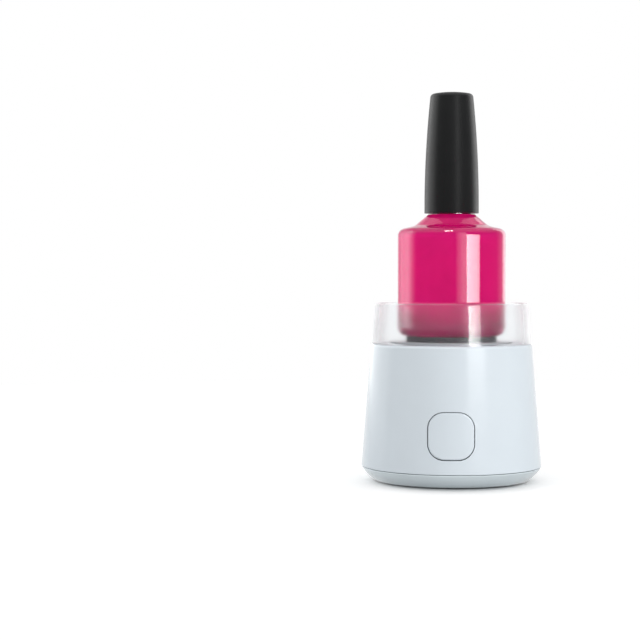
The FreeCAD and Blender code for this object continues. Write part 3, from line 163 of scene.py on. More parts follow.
def moulded(name, colour, roughness, mottle=0.05, smear=0.05, grain=(1500.0, 0.05)):
    """A moulded plastic or rubber finish, with a grain of a scale and a depth."""
    item, tree = new_tree(name)
    grain_scale, grain_depth = grain
    skin = place_group(
        tree,
        MOULDED_SKIN,
        Colour=(*colour, 1.0),
        Mottle=mottle,
        Roughness=roughness,
        Smear=smear,
        Grain_Scale=grain_scale,
        Grain_Depth=grain_depth,
    )
    shader = add(tree, "BsdfPrincipled")
    feed(tree, skin, shader)
    show(tree, shader)
    return item


def paint(finish, *names):
    """Gives a finish to CAD nodes."""
    for name in names:
        mesh = nodes[name].data
        mesh.materials.clear()
        mesh.materials.append(finish)


SHELL_COLOUR = (0.604, 0.66, 0.704)
paint(moulded("shell_gloss", SHELL_COLOUR, 0.16, grain=(900.0, 0.04)), "outer_housing")


# Base pan: a shallow dish of the same plastic in a slightly darker shade, screwed to the
# housing from below. It stands on four soft rubber feet that are pushed into its recesses.

PAN_COLOUR = (0.605, 0.67, 0.70)
paint(moulded("pan_gloss", PAN_COLOUR, 0.22, grain=(900.0, 0.05)), "base_pan")
paint(moulded("foot_rubber", (0.03, 0.03, 0.032), 0.75, 0.2, 0.1, (3000.0, 0.5)), "rubber_feet")


# Guard collar: a ring of clear polycarbonate with a light frosting, pressed into the deck.
# It keeps the swirling bottle in, mutes its colour, and turns milky where it is seen edge on.

FROST_HAZE = 0.003
EDGE_HAZE, EDGE_START = 0.75, 0.45
LIGHT_INSIDE = 0.115


def mix_shaders(tree, share, first, second):
    """Turns one shader into another as a share rises from 0 to 1; gives the mixing node."""
    mix = tree.nodes.new("ShaderNodeMixShader")
    tree.links.new(share, mix.inputs[0])
    tree.links.new(first.outputs[0], mix.inputs[1])
    tree.links.new(second.outputs[0], mix.inputs[2])
    return mix


def let_lamps_through(tree, glass, passed=1.0):
    """Shows a clear shader, and lets a share of the lamps' light reach what is behind it."""
    path = add(tree, "LightPath")
    clear = add(tree, "BsdfTransparent", Color=(passed, passed, passed, 1.0))
    show(tree, mix_shaders(tree, path.outputs["Is Shadow Ray"], glass, clear))


def frosted():
    """Clear plastic with a light, slightly uneven frosting under a smooth outer skin."""
    item, tree = new_tree("frosted_clear")
    skin = place_group(
        tree,
        MOULDED_SKIN,
        Colour=(0.98, 0.99, 1.0, 1.0),
        Mottle=0.02,
        Roughness=0.2,
        Smear=0.03,
        Grain_Scale=2600.0,
        Grain_Depth=0.03,
    )
    shader = add(
        tree,
        "BsdfPrincipled",
        Transmission_Weight=1.0 - FROST_HAZE,
        IOR=1.18,
        Coat_Weight=0.2,
        Coat_Roughness=0.05,
    )
    feed(tree, skin, shader)
    milky = add(tree, "BsdfPrincipled", Base_Color=(0.97, 0.98, 1.0, 1.0), Roughness=0.7)
    tree.links.new(skin.outputs["Normal"], milky.inputs["Normal"])
    facing = add(tree, "LayerWeight", Blend=0.5)
    edge = add(tree, "MapRange", From_Min=EDGE_START, To_Max=EDGE_HAZE)
    tree.links.new(facing.outputs["Facing"], edge.inputs["Value"])
    both = mix_shaders(tree, edge.outputs["Result"], shader, milky)
    let_lamps_through(tree, both, LIGHT_INSIDE)
    return item


paint(frosted(), "guard_collar")


# Button: a moulded key of the housing's plastic, flush with the front. Its flange slides in
# a guide frame of plain white plastic behind it.

paint(moulded("button_gloss", SHELL_COLOUR, 0.18, grain=(900.0, 0.05)), "button")
guide_white = moulded("guide_white", (0.75, 0.75, 0.74), 0.4)
paint(guide_white, "button_guide")


# Switch: a tactile switch behind the button, in a black moulded case that stands on the board.
# Its round plunger is a piece of its own, of a slightly lighter plastic.

switch_black = moulded("switch_black", (0.02, 0.02, 0.022), 0.45)
paint(switch_black, "switch_body")
paint(moulded("plunger_dark", (0.05, 0.05, 0.055), 0.35), "switch_plunger")


# Control board: glass cloth in resin under a green solder mask, screwed to the pan's pillars.
# Its chips are moulded in black epoxy and soldered on top.


def woven_board():
    """Solder mask over a faint cross weave, with a scatter of lighter tracks."""
    item, tree = new_tree("board_green")
    spot = add(tree, "TexCoord")
    tracks = add(
        tree,
        "TexBrick",
        Scale=180.0,
        Mortar_Size=0.06,
        Color1=(0.01, 0.13, 0.05, 1.0),
        Color2=(0.012, 0.16, 0.06, 1.0),
        Mortar=(0.03, 0.26, 0.10, 1.0),
    )
    tree.links.new(spot.outputs["Object"], tracks.inputs["Vector"])
    cloth = add(tree, "TexWave", Scale=900.0, Distortion=0.5)
    tree.links.new(spot.outputs["Object"], cloth.inputs["Vector"])
    bump = add(tree, "Bump", Strength=0.1, Distance=0.00005)
    tree.links.new(cloth.outputs["Fac"], bump.inputs["Height"])
    shader = add(tree, "BsdfPrincipled", Roughness=0.35)
    tree.links.new(tracks.outputs["Color"], shader.inputs["Base Color"])
    tree.links.new(bump.outputs["Normal"], shader.inputs["Normal"])
    show(tree, shader)
    return item


paint(woven_board(), "main_board")
paint(moulded("chip_epoxy", (0.018, 0.018, 0.02), 0.55, 0.2, 0.1, (4000.0, 0.3)), "board_chips")


# Metal pieces: turned screws, shafts and pins, ground bearing parts, pressed and stacked sheet,
# a brass hub, bushes and terminals, and copper bars and wire. Most are screwed, pressed or
# soldered in, and all keep the fine marks of their tools.

PATCHINESS = 0.15


def build_tool_marks():
    """Fine turning lines about the vertical axis, with a patchy polish."""
    tree, given, out = start_group(
        "tool_marks",
        {"Colour": "colour", "Roughness": "number", "Line Scale": "number", "Line Depth": "number"},
        {"Colour": "colour", "Roughness": "number", "Normal": "normal"},
    )
    spot = add(tree, "TexCoord")
    lines = add(tree, "TexWave", bands_direction="Z", Distortion=1.0, Detail_Scale=3.0)
    patch = add(tree, "TexNoise", Scale=400.0, Detail=4.0)
    for texture in (lines, patch):
        tree.links.new(spot.outputs["Object"], texture.inputs["Vector"])
    tree.links.new(given.outputs["Line Scale"], lines.inputs["Scale"])
    shade = add(tree, "HueSaturation")
    value = add(tree, "MapRange", To_Min=0.88, To_Max=1.08)
    tree.links.new(patch.outputs["Fac"], value.inputs["Value"])
    tree.links.new(value.outputs["Result"], shade.inputs["Value"])
    tree.links.new(given.outputs["Colour"], shade.inputs["Color"])
    tree.links.new(shade.outputs["Color"], out.inputs["Colour"])
    rough = maths(
        tree, "MULTIPLY_ADD", patch.outputs["Fac"], PATCHINESS, given.outputs["Roughness"]
    )
    tree.links.new(rough, out.inputs["Roughness"])
    bump = add(tree, "Bump", Distance=0.00005)
    tree.links.new(given.outputs["Line Depth"], bump.inputs["Strength"])
    tree.links.new(lines.outputs["Fac"], bump.inputs["Height"])
    tree.links.new(bump.outputs["Normal"], out.inputs["Normal"])
    return tree


TOOL_MARKS = build_tool_marks()


def metal(name, colour, roughness, line_scale=2500.0, line_depth=0.15):
    """A metal finish with tool marks."""
    item, tree = new_tree(name)
    marks = place_group(
        tree,
        TOOL_MARKS,
        Colour=(*colour, 1.0),
        Roughness=roughness,
        Line_Scale=line_scale,
        Line_Depth=line_depth,
    )
    shader = add(tree, "BsdfPrincipled", Metallic=1.0)
    feed(tree, marks, shader)
    show(tree, shader)
    return item


STEEL = (0.56, 0.57, 0.58)
BRASS = (0.78, 0.57, 0.27)
paint(
    metal("screw_zinc", (0.62, 0.63, 0.65), 0.28),
    "housing_screws",
    "board_screws",
    "bracket_screws",
    "motor_screws",
    "platform_screws",
)
steel_bright = metal("steel_bright", STEEL, 0.2)
paint(steel_bright, "motor_shaft", "guide_pins", "hub_set_screw", "mixing_balls")
steel_ground = metal("steel_ground", STEEL, 0.14)
paint(steel_ground, "bearing_inner_ring", "bearing_outer_ring", "bearing_balls")
paint(metal("steel_sheet", (0.5, 0.51, 0.52), 0.3, 400.0, 0.1), "motor_can", "motor_bracket")
paint(metal("steel_laminations", (0.36, 0.36, 0.37), 0.4, 9000.0, 0.5), "armature_core")
paint(metal("cage_pressed", STEEL, 0.3), "bearing_cage")
paint(metal("brass_turned", BRASS, 0.25), "eccentric_hub", "motor_bushes", "motor_terminals")
paint(metal("copper_bars", (0.86, 0.46, 0.3), 0.25), "commutator")
paint(metal("copper_wire", (0.72, 0.28, 0.12), 0.25, 3500.0, 0.8), "armature_windings")


# Charging inlet: a shell of drawn steel, soldered to the back of the board. A black moulded
# tongue inside it carries the contacts.

paint(metal("inlet_steel", (0.6, 0.61, 0.62), 0.22, 800.0, 0.05), "usb_shell")
paint(moulded("tongue_black", (0.015, 0.015, 0.016), 0.4), "usb_tongue")


# Battery: a pouch of silver foil, held on the pan's floor by foam tape. Two insulated leads
# join it to a black connector under the board, and two more run from the board to the motor.

paint(metal("pouch_foil", (0.7, 0.71, 0.72), 0.35, 200.0, 0.2), "battery_cell")
paint(moulded("foam_tape", (0.55, 0.55, 0.54), 0.85, 0.15, 0.05, (5000.0, 0.8)), "battery_tape")
paint(moulded("lead_red", (0.5, 0.02, 0.02), 0.4), "battery_leads", "motor_leads")
paint(switch_black, "battery_connector")


# Motor's other parts: an end cap of glass-filled plastic that closes the can, two sintered
# ferrite magnets fixed to the can's wall, and two carbon brushes that rub on the commutator.

paint(moulded("endcap_plastic", (0.03, 0.03, 0.033), 0.5, 0.1, 0.1, (3000.0, 0.3)), "motor_endcap")
paint(moulded("ferrite", (0.045, 0.043, 0.042), 0.6, 0.3, 0.1, (3500.0, 0.5)), "motor_magnets")
paint(moulded("carbon", (0.02, 0.02, 0.02), 0.55, 0.3, 0.1, (5000.0, 0.4)), "motor_brushes")


# Carrier and platform: a carrier of white acetal round the crank's bearing, and a turned grey
# platform screwed on top of it. White sleeves on the guide pins run in the carrier's wide holes.

paint(moulded("carrier_acetal", (0.72, 0.73, 0.73), 0.35), "orbit_carrier")
paint(moulded("platform_grey", (0.38, 0.40, 0.42), 0.4), "platform")
paint(guide_white, "pin_rollers")


# Grip pad: a moulded disc of soft dark rubber that keeps the bottle from sliding. It has three
# ring grooves on top and is glued to the platform.

paint(moulded("pad_rubber", (0.045, 0.046, 0.05), 0.7, 0.2, 0.08, (2600.0, 0.6)), "grip_pad")


# Bottle: clear glass blown in a mould, with a nearly flat shoulder, a cone above it and a
# threaded neck. Its foot is rounded and pushed up in the middle, and its walls are thick.

BOTTLE_AXIS = (0.0, 0.001)
MM_IN_METRE = 1000
LATHE_STEPS, ARC_STEPS = 160, 10
SHARP_ANGLE = 40.0


def rounded_line(corners):
    """Points along a line of (radius, height, rounding) corners, in millimetres."""
    points = []
    for index, (across, up, rounding) in enumerate(corners):
        if not rounding:
            points.append((across, up))
            continue
        before, after = corners[index - 1], corners[index + 1]
        into = (before[0] - across, before[1] - up)
        away = (after[0] - across, after[1] - up)
        into_length, away_length = math.hypot(*into), math.hypot(*away)
        into = (into[0] / into_length, into[1] / into_length)
        away = (away[0] / away_length, away[1] / away_length)
        half = math.acos(max(-1.0, min(1.0, into[0] * away[0] + into[1] * away[1]))) / 2
        run = rounding / math.tan(half)
        middle = (into[0] + away[0], into[1] + away[1])
        reach = rounding / math.sin(half) / math.hypot(*middle)
        centre = (across + middle[0] * reach, up + middle[1] * reach)
        first = (across + into[0] * run - centre[0], up + into[1] * run - centre[1])
        last = (across + away[0] * run - centre[0], up + away[1] * run - centre[1])
        start = math.atan2(first[1], first[0])
        sweep = math.atan2(last[1], last[0]) - start
        sweep = (sweep + math.pi) % (2 * math.pi) - math.pi
        for step in range(ARC_STEPS + 1):
            angle = start + sweep * step / ARC_STEPS
            reached = centre[0] + rounding * math.cos(angle)
            points.append((reached, centre[1] + rounding * math.sin(angle)))
    return points


def lathe(name, points):
    """A closed mesh turned about the bottle's axis, from (radius, height) in millimetres."""
    mesh = bpy.data.meshes.new(name)
    shape = bmesh.new()
    rings = []
    for across, up in points:
        radius, height = across / MM_IN_METRE, up / MM_IN_METRE
        if not radius:
            rings.append([shape.verts.new((*BOTTLE_AXIS, height))])
            continue
        ring = []
        for step in range(LATHE_STEPS):
            angle = 2 * math.pi * step / LATHE_STEPS
            x = BOTTLE_AXIS[0] + radius * math.cos(angle)
            y = BOTTLE_AXIS[1] + radius * math.sin(angle)
            ring.append(shape.verts.new((x, y, height)))
        rings.append(ring)
    for low, high in zip(rings, rings[1:]):
        for step in range(LATHE_STEPS):
            following = (step + 1) % LATHE_STEPS
            corners = [low[step % len(low)], low[following % len(low)]]
            corners += [high[following % len(high)], high[step % len(high)]]
            shape.faces.new(dict.fromkeys(corners))
    bmesh.ops.recalc_face_normals(shape, faces=shape.faces)
    shape.to_mesh(mesh)
    shape.free()
    mesh.shade_smooth()
    mesh.set_sharp_from_angle(angle=math.radians(SHARP_ANGLE))
    item = bpy.data.objects.new(name, mesh)
    bpy.context.scene.collection.objects.link(item)
    return item


def finish_piece(item, body, slot, finish, *replaced):
    """Gives a new piece its finish and its body, and hides the CAD nodes that it stands for."""
    item.data.materials.clear()
    item.data.materials.append(finish)
    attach(item, body)
    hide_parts(*replaced)


THREAD_PITCH = 2.4
WAVE_HEIGHT = 0.004


def clear_glass(thread_low, thread_high):
    """Clear glass with faint waves, and a screw thread between two heights in millimetres."""
    item, tree = new_tree("bottle_clear")
    spot = add(tree, "TexCoord")
    axes = add(tree, "SeparateXYZ")
    tree.links.new(spot.outputs["Object"], axes.inputs[0])
    x, y, z = axes.outputs
    turn = maths(tree, "ARCTAN2", maths(tree, "SUBTRACT", y, BOTTLE_AXIS[1]), x)
    rise = maths(tree, "MULTIPLY", z, 2 * math.pi * MM_IN_METRE / THREAD_PITCH)
    ridge = maths(tree, "MAXIMUM", maths(tree, "SINE", maths(tree, "ADD", rise, turn)), 0.0)
    above = maths(tree, "GREATER_THAN", z, thread_low / MM_IN_METRE)
    below = maths(tree, "LESS_THAN", z, thread_high / MM_IN_METRE)
    thread = maths(tree, "MULTIPLY", ridge, maths(tree, "MULTIPLY", above, below))
    wave = add(tree, "TexNoise", Scale=70.0, Detail=1.0)
    tree.links.new(spot.outputs["Object"], wave.inputs["Vector"])
    height = maths(tree, "MULTIPLY_ADD", wave.outputs["Fac"], WAVE_HEIGHT, thread)
    bump = add(tree, "Bump", Strength=0.8, Distance=0.0004)
    tree.links.new(height, bump.inputs["Height"])
    shader = add(
        tree,
        "BsdfPrincipled",
        Base_Color=(0.985, 0.99, 0.99, 1.0),
        Transmission_Weight=1.0,
        IOR=1.52,
        Roughness=0.0,
    )
    tree.links.new(bump.outputs["Normal"], shader.inputs["Normal"])
    let_lamps_through(tree, shader)
    return item


bottle_low, bottle_high = (corner * MM_IN_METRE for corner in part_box("bottle_glass"))
bottle_radius = (bottle_high.x - bottle_low.x) / 2
foot, mouth = bottle_low.z, bottle_high.z
SHOULDER_HEIGHT, ROOT_HEIGHT, CONE_HEIGHT = 33.25, 34.61, 38.09
shoulder, root, root_top = foot + SHOULDER_HEIGHT, foot + ROOT_HEIGHT, foot + CONE_HEIGHT
SHOULDER_RADIUS, ROOT_RADIUS, NECK_RADIUS, BORE_RADIUS = 11.5, 7.35, 6.17, 3.2
PUSH_UP, FOOT_RADIUS = 0.6, 11.0
HEEL_ROUND, SHOULDER_ROUND, ROOT_ROUND, CONE_TOP_ROUND, LIP_ROUND = 2.7, 2.3, 3.0, 0.3, 0.5
GLASS_WALL, GLASS_FLOOR, THROAT_WALL, THROAT_RISE = 1.5, 1.7, 1.2, 1.5
INNER_HEEL_ROUND, INNER_SHOULDER_ROUND, INNER_ROOT_ROUND = 3.6, 1.8, 3.0
inner_radius, inner_root_radius = bottle_radius - GLASS_WALL, SHOULDER_RADIUS - GLASS_WALL / 2
inner_shoulder, inner_root = shoulder - GLASS_WALL, root - GLASS_WALL
throat_radius = NECK_RADIUS - THROAT_WALL
THREAD_START, THREAD_END = 1, 1.5
glass_line = rounded_line(
    [
        (0, foot + PUSH_UP, 0),
        (FOOT_RADIUS, foot, 0),
        (bottle_radius, foot, HEEL_ROUND),
        (bottle_radius, shoulder, SHOULDER_ROUND),
        (SHOULDER_RADIUS, root, ROOT_ROUND),
        (ROOT_RADIUS, root_top, CONE_TOP_ROUND),
        (NECK_RADIUS, root_top, 0),
        (NECK_RADIUS, mouth, LIP_ROUND),
        (BORE_RADIUS, mouth, LIP_ROUND),
        (BORE_RADIUS, root_top + THROAT_RISE, LIP_ROUND),
        (throat_radius, root_top, LIP_ROUND),
        (inner_root_radius, inner_root, INNER_ROOT_ROUND),
        (inner_radius, inner_shoulder, INNER_SHOULDER_ROUND),
        (inner_radius, foot + GLASS_FLOOR, INNER_HEEL_ROUND),
        (0, foot + GLASS_FLOOR, 0),
    ]
)
bottle = lathe("bottle_body", glass_line)
bottle_clear = clear_glass(root_top + THREAD_START, mouth - THREAD_END)
finish_piece(bottle, "bottle", "clear_glass", bottle_clear, "bottle_glass")


# Polish: a full, opaque cream lacquer in deep pink, filled up to the neck's foot. It wets the
# glass all round, and two loose steel balls in it help to stir it.


def colour_ramp(tree, mask, stops):
    """A colour for each level of a mask, from stops of (place, colour); gives its output."""
    ramp = add(tree, "ValToRGB")
    elements = ramp.color_ramp.elements
    for index, (place, colour) in enumerate(stops):
        element = elements[index] if index < 2 else elements.new(place)
        element.position, element.color = place, (*colour, 1.0)
    tree.links.new(mask, ramp.inputs["Fac"])
    return ramp.outputs["Color"]


def cream_lacquer():
    """Deep pink with a swirl of a slightly lighter pink."""
    item, tree = new_tree("polish_pink")
    spot = add(tree, "TexCoord")
    swirl = add(tree, "TexNoise", Scale=45.0, Detail=3.0, Distortion=2.5)
    tree.links.new(spot.outputs["Object"], swirl.inputs["Vector"])
    stops = [(0.3, (0.72, 0.0075, 0.182)), (0.7, (0.78, 0.0090, 0.202))]
    shader = add(tree, "BsdfPrincipled", Roughness=0.45, Specular_IOR_Level=0.0)
    tree.links.new(colour_ramp(tree, swirl.outputs["Fac"], stops), shader.inputs["Base Color"])
    show(tree, shader)
    return item


WETTING = 0.02
polish_line = rounded_line(
    [
        (0, foot + GLASS_FLOOR - WETTING, 0),
        (inner_radius + WETTING, foot + GLASS_FLOOR - WETTING, INNER_HEEL_ROUND),
        (inner_radius + WETTING, inner_shoulder + WETTING, INNER_SHOULDER_ROUND),
        (inner_root_radius + WETTING, inner_root + WETTING, INNER_ROOT_ROUND),
        (throat_radius + WETTING, root_top, 0),
        (0, root_top, 0),
    ]
)
polish = lathe("polish_cream", polish_line)
finish_piece(polish, "bottle", "pink_polish", cream_lacquer(), "polish")


# Cap: a tall tapered cap of satin black plastic over a white liner and a soft gasket.
# The stem hangs from the gasket and carries the bristles.

paint(moulded("cap_satin", (0.008, 0.0085, 0.009), 0.34, 0.2, 0.06, (3000.0, 0.12)), "bottle_cap")
paint(moulded("liner_white", (0.7, 0.7, 0.7), 0.4), "cap_liner")
paint(moulded("gasket_soft", (0.6, 0.6, 0.58), 0.6), "cap_gasket")
paint(moulded("stem_black", (0.012, 0.012, 0.013), 0.3), "brush_stem")


def bristles():
    """Many fine upright hairs, by a noise that is drawn out along the stem."""
    item, tree = new_tree("bristle_black")
    spot = add(tree, "TexCoord")
    drawn = add(tree, "Mapping", Scale=(1.0, 1.0, 0.03))
    tree.links.new(spot.outputs["Object"], drawn.inputs["Vector"])
    hairs = add(tree, "TexNoise", Scale=5000.0, Detail=2.0)
    tree.links.new(drawn.outputs["Vector"], hairs.inputs["Vector"])
    stops = [(0.35, (0.004, 0.004, 0.005)), (0.65, (0.045, 0.045, 0.05))]
    bump = add(tree, "Bump", Strength=0.9, Distance=0.0002)
    tree.links.new(hairs.outputs["Fac"], bump.inputs["Height"])
    shader = add(tree, "BsdfPrincipled", Roughness=0.35)
    tree.links.new(colour_ramp(tree, hairs.outputs["Fac"], stops), shader.inputs["Base Color"])
    tree.links.new(bump.outputs["Normal"], shader.inputs["Normal"])
    show(tree, shader)
    return item


paint(bristles(), "brush_bristles")


# Floor: a pale matt disc that keeps the soft shadow under the pan, with a painted shadow added
# where its white lift fades under the pan. It isn't mirrored in the object, and is clear from
# below.

FLOOR_COLOUR, FLOOR_CLOUDS = 0.87, 0.01
FLOOR_LIFT = 0.36
FLOOR_RADIUS, FLOOR_CORNERS = 0.5, 128
# Painted shadow under the pan: no lift inside the core, full lift past the end, disc set forward.
PAINTED_SHADOW_CORE, PAINTED_SHADOW_END, PAINTED_SHADOW_OFFSET = 0.019, 0.032, 0.008
PAINTED_SHADOW_POWER = 2.0
FIRST_BOUNCE = 0.5


def pale_floor():
    """Matt white with a faint cloudiness, lifted to white where it is looked at from above.

    The lift fades in a disc under the pan, set a little to the front: a painted shadow.
    From below the floor is clear.
    """
    item, tree = new_tree("floor_white")
    grain = add(tree, "TexNoise", Scale=30.0, Detail=2.0)
    darkest, lightest = FLOOR_COLOUR - FLOOR_CLOUDS, FLOOR_COLOUR + FLOOR_CLOUDS
    tone = add(tree, "MapRange", To_Min=darkest, To_Max=lightest)
    tree.links.new(grain.outputs["Fac"], tone.inputs["Value"])
    colour = add(tree, "CombineColor")
    for channel in colour.inputs:
        tree.links.new(tone.outputs["Result"], channel)
    shader = add(tree, "BsdfPrincipled", Roughness=0.9, Specular_IOR_Level=0.0)
    tree.links.new(colour.outputs["Color"], shader.inputs["Base Color"])
    path = add(tree, "LightPath")
    looked_at = maths(tree, "LESS_THAN", path.outputs["Diffuse Depth"], FIRST_BOUNCE)
    # Painted shadow: the lift fades out in a disc under the pan, set a little towards the front.
    spot = add(tree, "TexCoord")
    away = add(tree, "VectorMath", operation="DISTANCE")
    tree.links.new(spot.outputs["Object"], away.inputs[0])
    away.inputs[1].default_value = (0.0, -PAINTED_SHADOW_OFFSET, 0.0)
    share = add(tree, "MapRange", From_Min=PAINTED_SHADOW_CORE, From_Max=PAINTED_SHADOW_END, To_Min=1.0, To_Max=0.0)
    tree.links.new(away.outputs["Value"], share.inputs["Value"])
    shade = maths(tree, "POWER", share.outputs["Result"], PAINTED_SHADOW_POWER)
    lift_outside_painted_shadow = add(tree, "MapRange", To_Min=FLOOR_LIFT, To_Max=0.0)
    tree.links.new(shade, lift_outside_painted_shadow.inputs["Value"])
    glow = add(tree, "Emission")
    lift = maths(tree, "MULTIPLY", looked_at, lift_outside_painted_shadow.outputs["Result"])
    tree.links.new(lift, glow.inputs["Strength"])
    both = tree.nodes.new("ShaderNodeAddShader")
    tree.links.new(shader.outputs[0], both.inputs[0])
    tree.links.new(glow.outputs[0], both.inputs[1])
    below = add(tree, "BsdfTransparent")
    side = add(tree, "NewGeometry")
    show(tree, mix_shaders(tree, side.outputs["Backfacing"], both, below))
    return item


floor_mesh = bpy.data.meshes.new("floor")
disc = bmesh.new()
bmesh.ops.create_circle(disc, cap_ends=True, segments=FLOOR_CORNERS, radius=FLOOR_RADIUS)
disc.to_mesh(floor_mesh)
disc.free()
floor = bpy.data.objects.new("floor", floor_mesh)
bpy.context.scene.collection.objects.link(floor)
floor_mesh.materials.append(pale_floor())
floor.visible_glossy = False


# Surround: an even white room. What is mirrored of it is dimmer in front, as in a studio, and
# its light is weaker where it comes through the glass.

WORLD_LIGHT = 0.80
LIGHT_THROUGH_GLASS = 0.28
FRONT_REFLECTION = 0.12
INNER_REFLECTION = 0.25
BACK_START = 0.35
TOP_START, TOP_FULL = 0.35, 0.8


def white_surround():
    """White to the eye and through glass, plain for matt pieces, dim in front where mirrored."""
    world = bpy.data.worlds.new("white_surround")
    world.use_nodes = True
    tree = world.node_tree
    tree.nodes.clear()
    path = add(tree, "LightPath")
    towards = add(tree, "TexCoord")
    axes = add(tree, "SeparateXYZ")
    tree.links.new(towards.outputs["Generated"], axes.inputs[0])
    behind = add(tree, "MapRange", From_Min=BACK_START)
    tree.links.new(axes.outputs["Y"], behind.inputs["Value"])
    above = add(tree, "MapRange", From_Min=TOP_START, From_Max=TOP_FULL)
    tree.links.new(axes.outputs["Z"], above.inputs["Value"])
    bright = maths(tree, "MAXIMUM", behind.outputs["Result"], above.outputs["Result"])
    mirrored = add(tree, "MapRange", To_Min=FRONT_REFLECTION, To_Max=1.0)
    tree.links.new(bright, mirrored.inputs["Value"])
    inside = add(tree, "MapRange", To_Max=INNER_REFLECTION)
    tree.links.new(path.outputs["Transmission Depth"], inside.inputs["Value"])
    mirror = maths(tree, "MAXIMUM", mirrored.outputs["Result"], inside.outputs["Result"])
    first = maths(tree, "LESS_THAN", path.outputs["Diffuse Depth"], FIRST_BOUNCE)
    through = add(tree, "MapRange", To_Min=LIGHT_THROUGH_GLASS, To_Max=1.0)
    tree.links.new(first, through.inputs["Value"])

    def level(condition, when_true, when_false):
        """The one or the other of two levels, by a condition of 0 or 1."""
        mix = add(tree, "Mix", data_type="FLOAT")
        tree.links.new(condition, mix.inputs[0])
        for socket, amount in ((mix.inputs[2], when_false), (mix.inputs[3], when_true)):
            if isinstance(amount, float):
                socket.default_value = amount
            else:
                tree.links.new(amount, socket)
        return mix.outputs[0]

    strength = level(path.outputs["Is Glossy Ray"], mirror, WORLD_LIGHT)
    strength = level(path.outputs["Is Transmission Ray"], through.outputs["Result"], strength)
    strength = level(path.outputs["Is Camera Ray"], 1.0, strength)
    sky = add(tree, "Background", Color=(1.0, 1.0, 1.0, 1.0))
    tree.links.new(strength, sky.inputs["Strength"])
    out = tree.nodes.new("ShaderNodeOutputWorld")
    tree.links.new(sky.outputs[0], out.inputs["Surface"])
    return world


bpy.context.scene.world = white_surround()


# Lamps: panels of light round the object, most of them upright, each for some pieces only.
# The matt ones give light and shade, and the glossy ones are what the smooth pieces mirror.

POWER_FACTOR = 4


def softbox(
    name, azimuth, distance, heights, spread, level, pieces, kind, fade=None, tip=0, unshading=()
):
    """A lamp at an azimuth from the front, between two heights, as wide as an angle.

    It lights the given pieces only, with matt or glossy light, and tips down by an angle. A fade
    is a list of (place across, share of the level), from the lowest azimuth to the highest.
    Unshading pieces cast no shadow in this light.
    """
    low, high = heights
    data = bpy.data.lights.new(name, "AREA")
    data.shape = "RECTANGLE"
    data.size = 2 * distance * math.tan(math.radians(spread / 2))
    data.size_y = high - low
    data.energy = level * data.size * data.size_y * POWER_FACTOR
    if fade:
        data.use_nodes = True
        tree = data.node_tree
        across = add(tree, "SeparateXYZ")
        tree.links.new(add(tree, "NewGeometry").outputs["Parametric"], across.inputs[0])
        stops = [(place, (share, share, share)) for place, share in fade]
        shares = colour_ramp(tree, across.outputs["X"], stops)
        tree.links.new(shares, tree.nodes["Emission"].inputs["Strength"])
    item = bpy.data.objects.new(name, data)
    bpy.context.scene.collection.objects.link(item)
    angle = math.radians(azimuth)
    item.location = (distance * math.sin(angle), -distance * math.cos(angle), (low + high) / 2)
    item.rotation_euler = (math.radians(90 - tip), 0, angle)
    item.visible_camera = False
    item.visible_transmission = False
    item.visible_diffuse = kind != "glossy"
    item.visible_glossy = kind != "matt"
    lit = bpy.data.collections.new(name + "_lights")
    for piece in pieces:
        lit.objects.link(piece)
    item.light_linking.receiver_collection = lit
    if unshading:
        passed = bpy.data.collections.new(name + "_passes")
        for piece in unshading:
            passed.objects.link(piece)
        for member in passed.collection_objects:
            member.light_linking.link_state = "EXCLUDE"
        item.light_linking.blocker_collection = passed


shell_pieces = [nodes[name] for name in ("outer_housing", "base_pan", "button")]
collar_piece, cap_piece = [nodes["guard_collar"]], [nodes["bottle_cap"]]
REAR_FADE = [(0, 0.1), (0.36, 0.4), (0.56, 0.7), (0.69, 0.5), (0.8, 0.28), (0.88, 0.12), (1, 0)]
STRIP_FADE = [(0, 1), (0.86, 0.62), (1, 0.05)]
softbox("key_right", 44, 0.9, (0.15, 0.75), 24, 6.9, nodes.values(), "matt", unshading=collar_piece)
softbox("fill_left", -110, 0.9, (0.1, 0.7), 24, 5.5, nodes.values(), "matt", unshading=collar_piece)
softbox("pan_fill", -60, 0.9, (0.0, 0.6), 24, 2.0, [nodes["base_pan"]], "matt")
softbox("bottle_key", 60, 0.9, (0.05, 0.45), 24, 6.5, [polish], "matt")
softbox("bottle_fill", -82, 0.9, (0.05, 0.45), 24, 7.5, [polish], "matt")
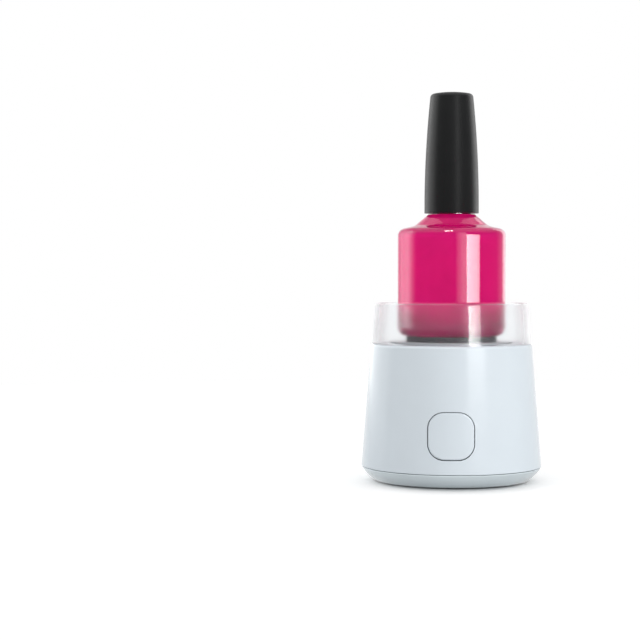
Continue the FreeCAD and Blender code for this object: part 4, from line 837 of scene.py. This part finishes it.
softbox("housing_left", -140, 1.0, (0.0, 0.8), 90, 1.4, shell_pieces, "glossy", [(0, 1), (1, 0.3)])
softbox(
    "left_rear", -111, 1.0, (-0.3, 0.8), 60, 3.6, [bottle], "glossy", REAR_FADE, 0, collar_piece
)
softbox("right_rear", 150, 1.0, (0.0, 0.8), 20, 0.8, [bottle], "glossy")
softbox("cap_left", -108, 1.0, (0.0, 0.8), 60, 1.5, cap_piece, "glossy", [(0, 0.9), (1, 0.5)])
softbox("cap_right", 125, 1.0, (0.0, 0.8), 40, 1.0, cap_piece, "glossy")
softbox("housing_strip", 35, 0.9, (0.13, 0.5), 25, 5.5, shell_pieces, "glossy")
softbox("collar_strip", 34, 0.9, (0.0, 0.5), 18, 50.0, collar_piece, "glossy", [(0, 1), (1, 0.3)])
softbox("bottle_strip", 47.5, 0.9, (0.0, 0.16), 31, 13.0, [bottle], "glossy", STRIP_FADE)
softbox("bottle_glow", 20, 0.9, (0.0, 0.6), 22, 3.0, [bottle], "glossy", [(0, 0.05), (1, 1)])
softbox("bottle_top", -8, 0.45, (0.7, 0.9), 30, 14.0, [bottle], "glossy", tip=60)
softbox("cap_strip", 27, 0.9, (0.0, 0.6), 14, 0.9, cap_piece, "glossy")


# Camera: a long lens half a metre in front and a little above the deck. It looks slightly
# down and to the left, so that the object stands right of the middle.

SENSOR = 36.0
FOCAL_PIXELS, PICTURE_PIXELS = 1686, 640
CAMERA_PLACE = (0.0, -0.531, 0.0648)
CAMERA_DIP, CAMERA_TURN = 1.563, 4.456
camera_data = bpy.data.cameras.new("camera")
camera_data.sensor_width = SENSOR
camera_data.lens = FOCAL_PIXELS / PICTURE_PIXELS * SENSOR
camera = bpy.data.objects.new("camera", camera_data)
bpy.context.scene.collection.objects.link(camera)
camera.location = CAMERA_PLACE
camera.rotation_euler = (math.radians(90 - CAMERA_DIP), 0, math.radians(CAMERA_TURN))
bpy.context.scene.camera = camera
bpy.context.scene.view_settings.view_transform = "Standard"
